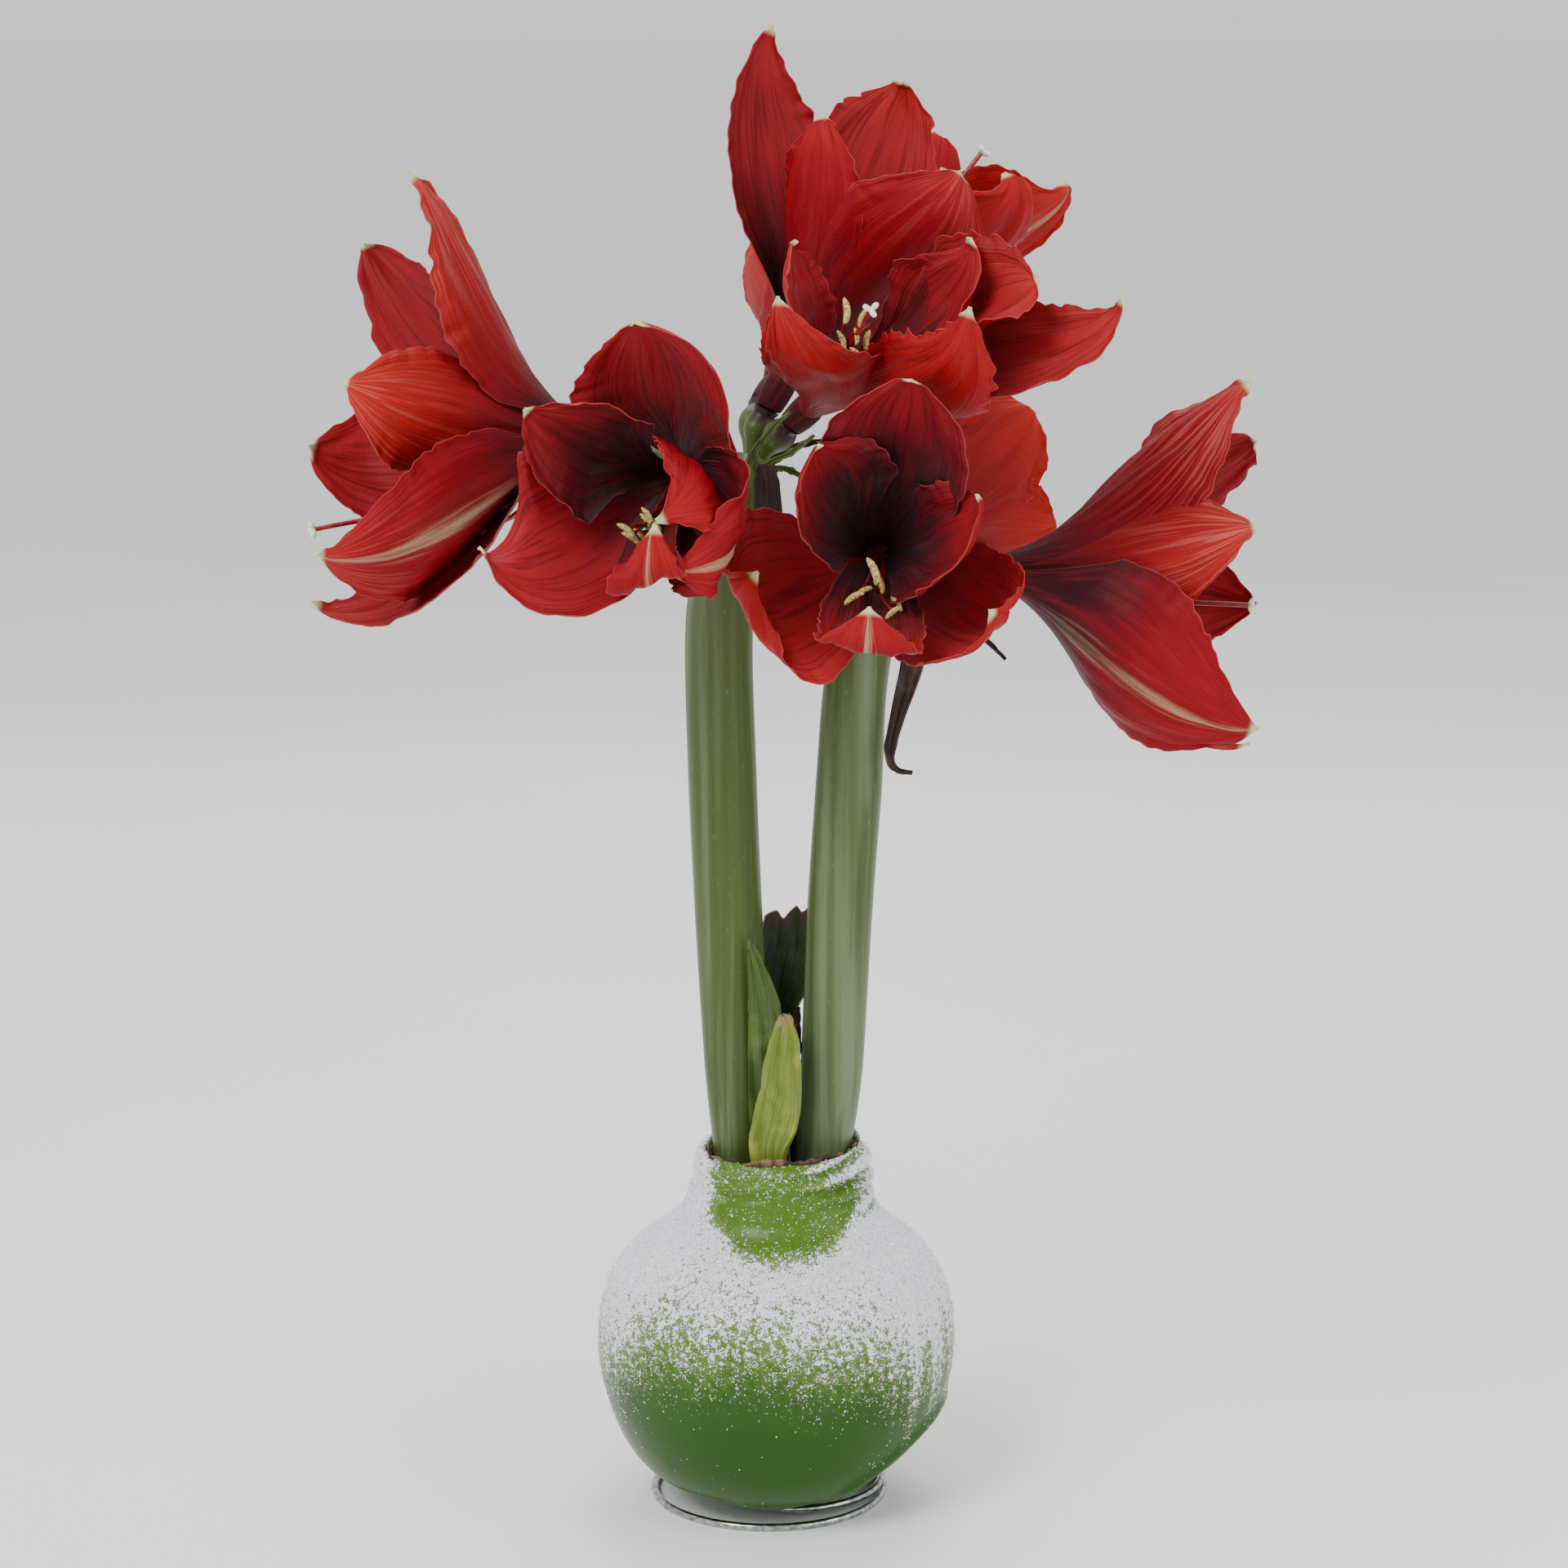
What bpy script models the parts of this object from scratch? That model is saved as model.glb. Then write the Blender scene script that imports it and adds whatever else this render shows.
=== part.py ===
"""Waxed amaryllis bulb: a flowering bulb dipped in green wax, standing on a coiled wire ring.

Two scapes stand in the bulb's neck with the feet of four cut leaves between them. Each scape ends
in an umbel whose short stalks and ovaries carry the trumpet blooms. Tables are in millimetres,
x to the right, y away from the viewer and z up, and MM turns them into metres.
"""
import math

import bmesh
import bpy
from mathutils import Matrix, Vector

MM = 0.001
GAP = 0.3  # clear space kept between touching solids
ORIGIN = (0.5, -0.7, 0.0)  # the place in the tables that stands at the world's origin

# Wire stand
WIRE_R = 1.2
RING_R = 36.3
RING_X, RING_Y = -4.8, 3.0
RING_Z = 1.08  # wire centre; the lowest 0.12 mm is flattened where the ring rests
CLIMB_Z = 3.7  # wire centre where it lies on its own first turn and under the bulb
CLIMB_FROM = 0.8  # the share of the first turn after which the wire climbs
WIRE_START = 28.0  # degrees
SPIRAL_TURN = 300.0  # degrees
SPIRAL_END_R = 5.0
RING_STEPS = 26
SPIRAL_STEPS = 13
SPIKE_TOP = 24.0

# Bulb and its wax coat
BULB_X, BULB_Y = -2.5, 0.0
NECK_X = -0.6  # the neck leans this far over
WAX = 2.0
SIDES = 24
# radius and height of the wax outside, from the middle of the flat base to the rim of the neck
WAX_PROFILE = [
    (22.0, 5.2), (31.0, 6.2), (39.5, 11.0), (47.0, 19.5), (52.6, 31.0), (55.6, 43.0), (56.2, 53.0),
    (54.8, 64.0), (51.0, 74.0), (44.5, 82.0), (36.5, 88.0), (30.6, 93.5), (28.2, 99.0), (26.9, 105.5),
    (26.2, 111.0), (25.6, 115.0),
]
CUP_FLOOR = 98.0
NECK_INSIDE = 22.2
TUNIC_RISE = 2.2  # how far the papery neck stands out of the wax
LOWEST_INSET = 4.0  # how much further in the body of the bulb starts than the wax over it
BORE_SIDES = 12
BORE_Z, BORE_LENGTH = 6.2, 8.0  # the hole in the wax for the wire's spike

# Petals and stamens
PETAL_THICK = 0.9
TEPAL_ROWS = 5
OUTER_COLS = 4
INNER_COLS = 3
TUBE_R = 4.6
TUBE_RINGS = ((0.0, 4.2), (6.0, 5.0), (14.0, 6.2))  # distance from the foot, and radius
TUBE_SIDES = 9
TIP_HALF = 0.8
FULLEST = 0.58  # the share of its length at which a tepal is widest
WRAP = 1.15  # the most that a tepal's half width turns round the tube, in radians
SHARE = 0.5  # the half turn that each tepal takes of the narrow tube, in radians
STAMEN_SIDES = 3
FILAMENT_R = 0.75
FILAMENT_START = 9.0  # from the foot of the tube
FILAMENT_RING = 2.2  # the ring that the filaments rise from, then how wide they spread at their bend
FILAMENT_BEND = 4.5
ANTHER_RING = 6.5
ANTHER_STAGGER = 3.0  # every second anther stands this far ahead, and the others as far behind
ANTHER_HALF = 4.2
ANTHER_R = 1.5
STYLE_R = 0.9
LOBE_HALF = 1.8
LOBE_R = 0.9
LOBE_RING = 1.2
OVARY_R = 4.9
OVARY_SHARE, OVARY_WIDTH = 0.7, 0.2  # where along the stalk the ovary is thickest, and how long it is
STALK_R = 2.6
STALK_STEPS = 5
STALK_SIDES = 7
SCAPE_SIDES = 14
STRAP_HALF = 1.5
STRAP_THICK = 0.8

# Each bloom: the foot of its tube, the middle of its anthers, its stigma, and its six tepals. A tepal
# has its tip, a place that its midrib passes at 60% of its length, its greatest half width, a turn
# about its midrib in degrees, and the share by which one side of it is wider than the middle width.
# Outer and inner tepals take turns round the mouth.
BLOOMS = {
    "bloom_left": {
        "foot": (-50, 6, 332), "anthers": (-119, -14, 312), "stigma": (-138, -26, 314),
        "tepals": [
            ((-111, -5, 415), (-91, 2, 376), 18, -25, -0.1),
            ((-129, -34, 355), (-100, -23, 346), 23, 0, -0.1),
            ((-138, -40, 305), (-99, -29, 312), 28, 22, -0.1),
            ((-143, -10, 285), (-103, -6, 298), 20, -30, 0),
            ((-146, 15, 331), (-112, 20, 322), 27, 0, -0.1),
            ((-128, 22, 393), (-104, 26, 364), 25, 0, 0),
        ],
    },
    "bloom_front_left": {
        "foot": (-27, -14, 326), "anthers": (-41, -76, 320), "stigma": (-48, -80, 312),
        "tepals": [
            ((-42, -62, 376), (-33, -44, 354), 34, 0, -0.1),
            ((-36, -88, 321), (-21, -70, 330), 20, 35, 0),
            ((-33, -84, 306), (-15, -68, 314), 24, 0, 0),
            ((-37, -92, 321), (-38, -84, 305), 12, 0, 0),
            ((-88, -66, 310), (-60, -56, 306), 33, 0, -0.08),
            ((-74, -70, 351), (-54, -52, 337), 23, 0, 0),
        ],
    },
    "bloom_top": {
        "foot": (-5, 4, 344), "anthers": (50, 4, 408), "stigma": (59, 5, 420),
        "tepals": [
            ((-4, 2, 458), (-7, 2, 414), 19, -50, -0.25),
            ((12, -22, 432), (9, -21, 402), 19, 0, -0.15),
            ((52, -25, 416), (34, -26, 391), 30, 0, 0.1),
            ((66, -8, 415), (52, -4, 391), 18, 20, 0),
            ((86, 22, 411), (62, 18, 389), 14, 15, 0),
            ((37, 42, 441), (27, 36, 410), 23, 0, 0.15),
        ],
    },
    "bloom_upper_right": {
        "foot": (3, -9, 341), "anthers": (20, -66, 373), "stigma": (25, -74, 379),
        "tepals": [
            ((54, -50, 398), (42, -38, 372), 25, 0, -0.08),
            ((72, -58, 386), (53, -48, 376), 24, 0, 0),
            ((97, -60, 381), (66, -50, 363), 18, 20, 0),
            ((52, -78, 380), (36, -58, 356), 21, -40, 0.2),
            ((-2, -66, 382), (2, -48, 358), 20, 40, 0.5),
            ((3, -46, 397), (3, -38, 375), 18, 0, 0),
        ],
    },
    "bloom_front": {
        "foot": (27, -16, 299), "anthers": (24, -82, 303), "stigma": (33, -88, 312),
        "tepals": [
            ((36, -84, 361), (32, -60, 338), 26, 0, 0),
            ((56, -76, 327), (47, -62, 313), 22, 0, -0.2),
            ((59, -80, 294), (56, -58, 292), 24, 0, -0.25),
            ((24, -95, 298), (24, -84, 286), 16, 0, 0),
            ((-8, -62, 303), (-6, -48, 293), 32, 0, 0.15),
            ((10, -80, 342), (12, -64, 325), 23, 0, 0),
        ],
    },
    "bloom_right": {
        "foot": (53, 2, 295), "anthers": (118, -12, 282), "stigma": (130, -14, 280),
        "tepals": [
            ((140, 0, 353), (107, 2, 324), 22, 35, 0.2),
            ((146, 22, 332), (118, 27, 316), 20, 0, 0),
            ((147, 20, 282), (115, 26, 284), 21, 0, 0),
            ((142, -5, 241), (102, 0, 258), 17, 0, 0),
            ((142, -30, 251), (101, -25, 267), 30, -25, -0.12),
            ((140, -28, 312), (109, -18, 304), 20, 0, 0),
        ],
    },
    "bloom_rear_left": {
        "foot": (-7, 18, 343), "anthers": (26, 78, 378), "stigma": (28, 90, 382),
        "tepals": [
            ((-8, 80, 383), (-2, 60, 384), 19, 0, 0),
            ((6, 90, 420), (8, 68, 396), 19, 0, 0),
            ((48, 86, 424), (34, 66, 401), 24, 0, 0),
            ((68, 92, 392), (48, 72, 380), 19, 0, 0),
            ((52, 86, 360), (38, 68, 356), 22, 0, 0),
            ((14, 96, 354), (14, 76, 352), 18, 0, 0),
        ],
    },
    "bloom_rear_right": {
        "foot": (36, 14, 303), "anthers": (48, 76, 300), "stigma": (52, 88, 298),
        "tepals": [
            ((80, 80, 336), (66, 62, 325), 22, 0, 0),
            ((88, 76, 300), (70, 62, 300), 19, 0, 0),
            ((54, 84, 266), (50, 64, 276), 23, 0, 0),
            ((18, 92, 280), (24, 68, 286), 18, 0, 0),
            ((10, 80, 318), (18, 60, 315), 22, 0, 0),
            ((42, 88, 346), (41, 66, 334), 19, 0, 0),
        ],
    },
}

# Each scape: places along its middle, each with its half width and half depth, the middle of its
# umbel, the blooms it carries, and the thin straps that grow among their stalks
SCAPES = {
    "scape_left": {
        "path": [
            ((-10.5, 0, 80.5), 6.6, 6.6), ((-12.8, 0, 100), 8.6, 8.2), ((-13.3, 0, 115), 8.8, 8.6),
            ((-14.6, 0, 140), 10.0, 9.2), ((-16.8, 0, 182), 10.3, 9.4), ((-18.9, 0, 232), 10.4, 9.4),
            ((-19.6, 0, 280), 10.2, 9.3), ((-14.5, 0, 308), 9.4, 8.8), ((-11.0, 2, 322), 8.2, 8.4),
            ((-9.6, 3, 330), 5.4, 5.8),
        ],
        "umbel": (-10, 3, 325),
        "blooms": [
            "bloom_left", "bloom_front_left", "bloom_top", "bloom_upper_right", "bloom_rear_left",
        ],
        "straps": [
            ((-11, -2, 326), (-8, -9, 333), (-3, -15, 340), (2, -20, 345)),
            ((-8, -3, 324), (-3, -10, 329), (3, -16, 333), (9, -21, 338)),
            ((-7, 6, 326), (-1, 9, 330), (8, 7, 333), (19, 4, 334)),
            ((-7, 5, 323), (0, 8, 325), (8, 8, 321)),
        ],
    },
    "scape_right": {
        "path": [
            ((9.5, 0, 80.5), 6.4, 6.4), ((11.8, 0, 100), 8.4, 8.2), ((12.4, 0, 115), 8.6, 8.5),
            ((14.8, 0, 140), 9.6, 9.0), ((17.2, 0, 190), 10.0, 9.2), ((19.8, 0, 228), 10.1, 9.2),
            ((21.6, 0, 258), 9.6, 9.0), ((25.4, 1, 280), 9.0, 8.6), ((28.0, 2, 292), 8.0, 8.2),
            ((28.8, 2, 300), 5.2, 5.6),
        ],
        "umbel": (28, 2, 295),
        "blooms": ["bloom_front", "bloom_right", "bloom_rear_right"],
        "straps": [
            ((30, 4, 291), (43, 11, 286), (56, 13, 277), (63, 11, 271), (68, 9, 266)),
            ((27, 6, 292), (22, 13, 298), (15, 18, 306)),
        ],
    },
}

# Each leaf and bract: places along its midrib, the half width there and its turn about the midrib in
# degrees; "cup" is how far its edges come forward, as a share of the half width
BLADES = {
    "leaf_left": {
        "thick": 1.2, "cup": 0.12, "facing": (-0.1, -1, 0), "colour": "leaf_dark",
        "path": [
            ((-2.6, -11.0, 98.4), 4.6, 0), ((-4.2, -11.2, 125), 5.6, 0), ((-5.4, -11.4, 150), 5.4, 0),
            ((-7.4, -11.4, 168), 3.6, 0), ((-10.8, -11.0, 183), 0.8, 0),
        ],
    },
    "leaf_back": {
        "thick": 1.6, "cup": 0.12, "facing": (0, -1, 0), "colour": "leaf_dark",
        "path": [
            ((0.0, 13.6, 98.4), 8.0, 0), ((0.6, 13.8, 130), 10.6, 0), ((1.2, 13.8, 160), 11.6, 0),
            ((1.8, 13.4, 178), 10.4, 0), ((3.4, 12.6, 189), 5.6, 0),
        ],
    },
    "leaf_short": {
        "thick": 3.0, "cup": 0.45, "facing": (0, -1, 0), "colour": "leaf_pale",
        "path": [
            ((-3.6, -15.4, 98.4), 3.2, 0), ((-4.6, -15.4, 116), 5.2, 0), ((-2.2, -15.4, 128), 6.8, 0),
            ((-0.6, -15.4, 143), 5.2, 0), ((0.3, -15.2, 160), 1.2, 0),
        ],
    },
    "leaf_stub": {
        "thick": 1.2, "cup": 0.2, "facing": (0, -1, 0), "colour": "bract_brown",
        "path": [
            ((1.8, 5.2, 98.4), 1.6, 0), ((1.6, 4.6, 125), 2.2, 0), ((2.8, 3.8, 146), 2.0, 0),
            ((4.2, 3.0, 157.5), 0.8, 0),
        ],
    },
    "spathe_left": {
        "thick": 0.8, "cup": 0.35, "facing": (0.2, -1, 0), "colour": "bract_brown",
        "path": [
            ((-5.6, -11.6, 328.5), 2.6, 0), ((-5.2, -13.4, 322), 3.8, 8), ((-4.6, -13.8, 312), 4.2, 14),
            ((-2.6, -13.6, 298), 3.0, 22), ((0.8, -12.6, 284), 0.8, 30),
        ],
    },
    "spathe_right": {
        "thick": 0.8, "cup": 0.35, "facing": (0.5, -1, 0), "colour": "bract_brown",
        "path": [
            ((38.9, 4.0, 290.9), 3.0, 0), ((40.4, 1.0, 280), 4.6, 6), ((38.4, -4.0, 266), 3.6, 16),
            ((34.6, -8.4, 252), 2.2, 30), ((32.4, -10.0, 241), 1.3, 46), ((34.2, -10.2, 235.6), 1.1, 60),
            ((39.0, -10.0, 234.4), 0.8, 70),
        ],
    },
}

COLOURS = {
    "petal_red": ((0.48, 0.02, 0.02), 0.45, 0.0),
    "stem_green": ((0.13, 0.2, 0.06), 0.5, 0.0),
    "leaf_dark": ((0.03, 0.06, 0.02), 0.5, 0.0),
    "leaf_pale": ((0.25, 0.32, 0.06), 0.5, 0.0),
    "bract_brown": ((0.06, 0.03, 0.02), 0.7, 0.0),
    "wax_green": ((0.07, 0.22, 0.03), 0.3, 0.0),
    "bulb_tunic": ((0.3, 0.14, 0.05), 0.7, 0.0),
    "wire_steel": ((0.55, 0.56, 0.58), 0.25, 1.0),
}


def vec(place):
    """A table's place in millimetres as a world place in metres."""
    return (Vector(place) - Vector(ORIGIN)) * MM


def material(slot):
    colour, roughness, metallic = COLOURS[slot]
    mat = bpy.data.materials.get(slot) or bpy.data.materials.new(slot)
    mat.use_nodes = True
    shader = mat.node_tree.nodes["Principled BSDF"]
    shader.inputs["Base Color"].default_value = (*colour, 1.0)
    shader.inputs["Roughness"].default_value = roughness
    shader.inputs["Metallic"].default_value = metallic
    return mat


def add_object(name, mesh, slot, collection):
    obj = bpy.data.objects.new(name, mesh)
    collection.objects.link(obj)
    mesh.materials.clear()
    mesh.materials.append(material(slot))
    return obj


def mesh_from(name, points, faces):
    mesh = bpy.data.meshes.new(name)
    mesh.from_pydata([tuple(p) for p in points], [], faces)
    mesh.update()
    return mesh


def evaluated_copy(obj):
    """The object's mesh with its modifiers applied, in world space."""
    graph = bpy.context.evaluated_depsgraph_get()
    mesh = bpy.data.meshes.new_from_object(obj.evaluated_get(graph))
    mesh.transform(obj.matrix_world)
    return mesh


def smooth(mesh, angle=40):
    mesh.shade_smooth()
    mesh.set_sharp_from_angle(angle=math.radians(angle))


def catmull(places, t):
    """A point at share t of a smooth curve through the places, and the curve's direction."""
    last = len(places) - 1
    k = min(int(t * last), last - 1)
    f = t * last - k
    p1, p2 = places[k], places[k + 1]
    p0 = places[k - 1] if k > 0 else p1 * 2 - p2
    p3 = places[k + 2] if k + 2 <= last else p2 * 2 - p1
    a = -p0 + p1 * 3 - p2 * 3 + p3
    b = p0 * 2 - p1 * 5 + p2 * 4 - p3
    c = p2 - p0
    point = (a * f ** 3 + b * f ** 2 + c * f + p1 * 2) / 2
    along = (a * 3 * f ** 2 + b * 2 * f + c) / 2
    return point, along.normalized()


def bezier(p0, p1, p2, p3, t):
    s = 1 - t
    point = p0 * s ** 3 + p1 * (3 * s * s * t) + p2 * (3 * s * t * t) + p3 * t ** 3
    along = (p1 - p0) * (s * s) + (p2 - p1) * (2 * s * t) + (p3 - p2) * (t * t)
    return point, along.normalized()


def skin(name, rings):
    """A closed tube through rings of points that all have the same count."""
    count = len(rings[0])
    points = [p for ring in rings for p in ring]
    faces = []
    for i in range(len(rings) - 1):
        for j in range(count):
            a, b = i * count + j, i * count + (j + 1) % count
            faces.append((a, b, b + count, a + count))
    faces.append(tuple(range(count - 1, -1, -1)))
    faces.append(tuple(range((len(rings) - 1) * count, len(rings) * count)))
    return mesh_from(name, points, faces)


def split_alike(mesh):
    """Splits each face along its shortest diagonal, so that a nested pair of skins stays clear."""
    work = bmesh.new()
    work.from_mesh(mesh)
    quads = [face for face in work.faces if len(face.verts) == 4]
    bmesh.ops.triangulate(work, faces=quads, quad_method="SHORT_EDGE")
    work.to_mesh(mesh)
    work.free()


def ring_at(point, along, right, width, depth, sides):
    """Points of an oval across the direction of travel, anticlockwise seen from its front."""
    side = (right - along * right.dot(along)).normalized()
    up = along.cross(side)
    ring = []
    for j in range(sides):
        turn = math.tau * j / sides
        ring.append(point + side * (math.cos(turn) * width) + up * (math.sin(turn) * depth))
    return ring


def sheet_solid(name, rows, thickness):
    """A closed thin solid on a grid of points, split into like triangles on both faces."""
    n_rows, n_cols = len(rows), len(rows[0])
    front, back = [], []
    for i in range(n_rows):
        for j in range(n_cols):
            along = rows[min(i + 1, n_rows - 1)][j] - rows[max(i - 1, 0)][j]
            across = rows[i][min(j + 1, n_cols - 1)] - rows[i][max(j - 1, 0)]
            normal = across.cross(along).normalized() * (thickness / 2)
            front.append(rows[i][j] + normal)
            back.append(rows[i][j] - normal)
    size = n_rows * n_cols
    faces = []
    for i in range(n_rows - 1):
        for j in range(n_cols - 1):
            a = i * n_cols + j
            b, c, d = a + 1, a + n_cols + 1, a + n_cols
            if j < (n_cols - 1) / 2:
                split = ((a, b, c), (a, c, d))
            else:
                split = ((a, b, d), (b, c, d))
            for tri in split:
                faces.append(tri)
                faces.append(tuple(size + k for k in reversed(tri)))
    edge = list(range(n_cols))
    edge += [i * n_cols + n_cols - 1 for i in range(1, n_rows)]
    edge += [(n_rows - 1) * n_cols + j for j in range(n_cols - 2, -1, -1)]
    edge += [i * n_cols for i in range(n_rows - 2, 0, -1)]
    for a, b in zip(edge, edge[1:] + edge[:1]):
        faces.append((a, a + size, b + size))
        faces.append((a, b + size, b))
    return mesh_from(name, front + back, faces)


def joined_by(solver, name, core, pieces):
    """The core and every piece joined by one Boolean union on a collection."""
    repeats = bpy.data.collections.new(name + "_repeats")
    bpy.context.scene.collection.children.link(repeats)
    for index, mesh in enumerate(pieces):
        repeats.objects.link(bpy.data.objects.new(f"{name}_repeat_{index}", mesh))
    base = bpy.data.objects.new(name + "_core", core)
    bpy.context.scene.collection.objects.link(base)
    join = base.modifiers.new("join", "BOOLEAN")
    join.operation = "UNION"
    join.operand_type = "COLLECTION"
    join.collection = repeats
    join.solver = solver
    joined = evaluated_copy(base)
    for obj in list(repeats.objects) + [base]:
        bpy.data.objects.remove(obj, do_unlink=True)
    bpy.data.collections.remove(repeats)
    return joined


def union(name, core, pieces):
    """The core and every piece as one closed body."""
    joined = joined_by("EXACT", name, core, pieces)
    if not is_closed(joined):
        joined = joined_by("MANIFOLD", name, core, pieces)
    keep_largest(joined)
    joined.name = name
    return joined


def is_closed(mesh):
    work = bmesh.new()
    work.from_mesh(mesh)
    closed = all(len(edge.link_faces) == 2 for edge in work.edges)
    work.free()
    return closed


def keep_largest(mesh):
    """Drops loose scraps and sealed hollows, so that one body is left."""
    work = bmesh.new()
    work.from_mesh(mesh)
    bodies = []
    left = set(work.verts)
    while left:
        body = set()
        front = [left.pop()]
        while front:
            vert = front.pop()
            body.add(vert)
            for edge in vert.link_edges:
                other = edge.other_vert(vert)
                if other in left:
                    left.remove(other)
                    front.append(other)
        bodies.append(body)
    bodies.sort(key=len)
    for body in bodies[:-1]:
        bmesh.ops.delete(work, geom=list(body), context="VERTS")
    work.to_mesh(mesh)
    work.free()


def cut(mesh, cutters, name):
    """The mesh less each of the cutter meshes."""
    base = bpy.data.objects.new(name + "_blank", mesh)
    bpy.context.scene.collection.objects.link(base)
    tools = []
    for index, cutter in enumerate(cutters):
        tool = bpy.data.objects.new(f"{name}_cutter_{index}", cutter)
        tool.hide_render = True
        tool.display_type = "WIRE"
        bpy.context.scene.collection.objects.link(tool)
        tools.append(tool)
        bore = base.modifiers.new("bore", "BOOLEAN")
        bore.operation = "DIFFERENCE"
        bore.object = tool
        bore.solver = "EXACT"
    result = evaluated_copy(base)
    for obj in tools + [base]:
        bpy.data.objects.remove(obj, do_unlink=True)
    result.name = name
    return result


def wire_places():
    """The wire's middle: one turn on the ground, over its own start, then inward to the spike."""
    places = []
    start = math.radians(WIRE_START)
    for i in range(RING_STEPS + 1):
        share = i / RING_STEPS
        angle = start - math.tau * share
        climb = max(0.0, (share - CLIMB_FROM) / (1 - CLIMB_FROM))
        z = RING_Z + (CLIMB_Z - RING_Z) * (3 * climb ** 2 - 2 * climb ** 3)
        places.append((RING_X + RING_R * math.cos(angle), RING_Y + RING_R * math.sin(angle), z))
    for i in range(1, SPIRAL_STEPS + 1):
        share = i / SPIRAL_STEPS
        angle = start - math.radians(SPIRAL_TURN) * share
        radius = RING_R - (RING_R - SPIRAL_END_R) * (3 * share ** 2 - 2 * share ** 3)
        shift = share * share
        x = RING_X + (BULB_X - RING_X) * shift + radius * math.cos(angle)
        y = RING_Y + (BULB_Y - RING_Y) * shift + radius * math.sin(angle)
        places.append((x, y, CLIMB_Z))
    places.append((BULB_X, BULB_Y + WIRE_R, CLIMB_Z))
    places.append((BULB_X, BULB_Y, CLIMB_Z + WIRE_R))
    places.append((BULB_X, BULB_Y, SPIKE_TOP))
    return places


def make_wire(collection):
    curve = bpy.data.curves.new("wire_route", "CURVE")
    curve.dimensions = "3D"
    curve.bevel_depth = WIRE_R * MM
    curve.bevel_resolution = 2
    curve.use_fill_caps = True
    places = wire_places()
    spline = curve.splines.new("POLY")
    spline.points.add(len(places) - 1)
    for point, place in zip(spline.points, places):
        point.co = (*vec(place), 1.0)
    route = bpy.data.objects.new("wire_route", curve)
    bpy.context.scene.collection.objects.link(route)
    tube = evaluated_copy(route)
    bpy.data.objects.remove(route, do_unlink=True)
    weld(tube)
    floor = bmesh.new()
    bmesh.ops.create_cube(floor, size=1.0, matrix=Matrix.Translation(vec((0, 0, -10)))
                          @ Matrix.Diagonal((0.2, 0.2, 0.02, 1.0)))
    block = bpy.data.meshes.new("floor_block")
    floor.to_mesh(block)
    floor.free()
    mesh = cut(tube, [block], "wire_stand")
    smooth(mesh)
    return add_object("wire_stand", mesh, "wire_steel", collection)


def weld(mesh):
    work = bmesh.new()
    work.from_mesh(mesh)
    bmesh.ops.remove_doubles(work, verts=work.verts, dist=0.00001)
    bmesh.ops.recalc_face_normals(work, faces=work.faces)
    work.to_mesh(mesh)
    work.free()


def smooth_step(low, high, value):
    share = min(1.0, max(0.0, (value - low) / (high - low)))
    return share * share * (3 - 2 * share)


def bell(value, centre, width):
    return math.exp(-((value - centre) / width) ** 2)


def wax_bump(angle, height, x):
    """How far the wax stands out or in at a place, in millimetres.

    The dipped body is a little oval and slimmer at its waist. A flat dent lies low on its right front
    below a slanting crease, a softer one lies low on its left, and folds and a lump lie on the neck.
    """
    low = max(0.0, 1 - abs(height - 30) / 26)
    oval = 0.9 * math.sin(2 * angle + 0.6) * math.sin(math.pi * min(1, height / 90))
    waist = -0.9 * bell(height, 50, 32)
    left_dent = -1.6 * low * max(0.0, math.cos(angle - 2.7)) ** 6
    front = smooth_step(-0.2, 0.4, -math.sin(angle))
    past_crease = (x - 23.7) * 0.556 - (height - 14.4) * 0.83
    right_dent = -3.8 * smooth_step(-1, 9, past_crease) * front * (1 - smooth_step(34, 50, height))
    neck = max(0.0, 1 - abs(height - 103) / 13)
    fold = 0.9 * neck * math.sin(height * 0.62 + 1.2 * math.sin(angle)) * (0.4 + 0.6 * math.cos(angle) ** 2)
    lump = 1.5 * max(0.0, math.cos(angle - 3.5)) ** 4 * max(0.0, 1 - abs(height - 95) / 9)
    return oval + waist + left_dent + right_dent + fold + lump


def axis_x(height):
    """Where the bulb's middle lies at a height: the neck leans a little."""
    return BULB_X + (NECK_X - BULB_X) * smooth_step(70, 105, height)


def profile_ring(inset, radius, height, bump=1.0):
    ring = []
    for j in range(SIDES):
        angle = math.tau * j / SIDES
        r = radius - inset + bump * wax_bump(angle, height, radius * math.cos(angle))
        ring.append(vec((axis_x(height) + r * math.cos(angle), BULB_Y + r * math.sin(angle), height)))
    return ring


def make_wax(collection):
    """A skin of wax over the whole bulb, open at the neck, with a bore for the wire's spike."""
    outside = [profile_ring(0, r, z) for r, z in WAX_PROFILE]
    inside = [profile_ring(WAX, r, max(z, WAX_PROFILE[0][1] + WAX)) for r, z in WAX_PROFILE[1:]]
    rings = outside + inside[::-1]
    mesh = skin("wax_blank", rings)
    split_alike(mesh)
    mesh = cut(mesh, [cylinder(WIRE_R + GAP, (BULB_X, BULB_Y, BORE_Z), BORE_LENGTH)], "wax_coat")
    smooth(mesh)
    return add_object("wax_coat", mesh, "wax_green", collection)


def cylinder(radius, middle, length):
    work = bmesh.new()
    bmesh.ops.create_cone(
        work, cap_ends=True, segments=BORE_SIDES, radius1=radius * MM, radius2=radius * MM,
        depth=length * MM, matrix=Matrix.Translation(vec(middle)),
    )
    mesh = bpy.data.meshes.new("bore_cutter")
    work.to_mesh(mesh)
    work.free()
    return mesh


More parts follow.
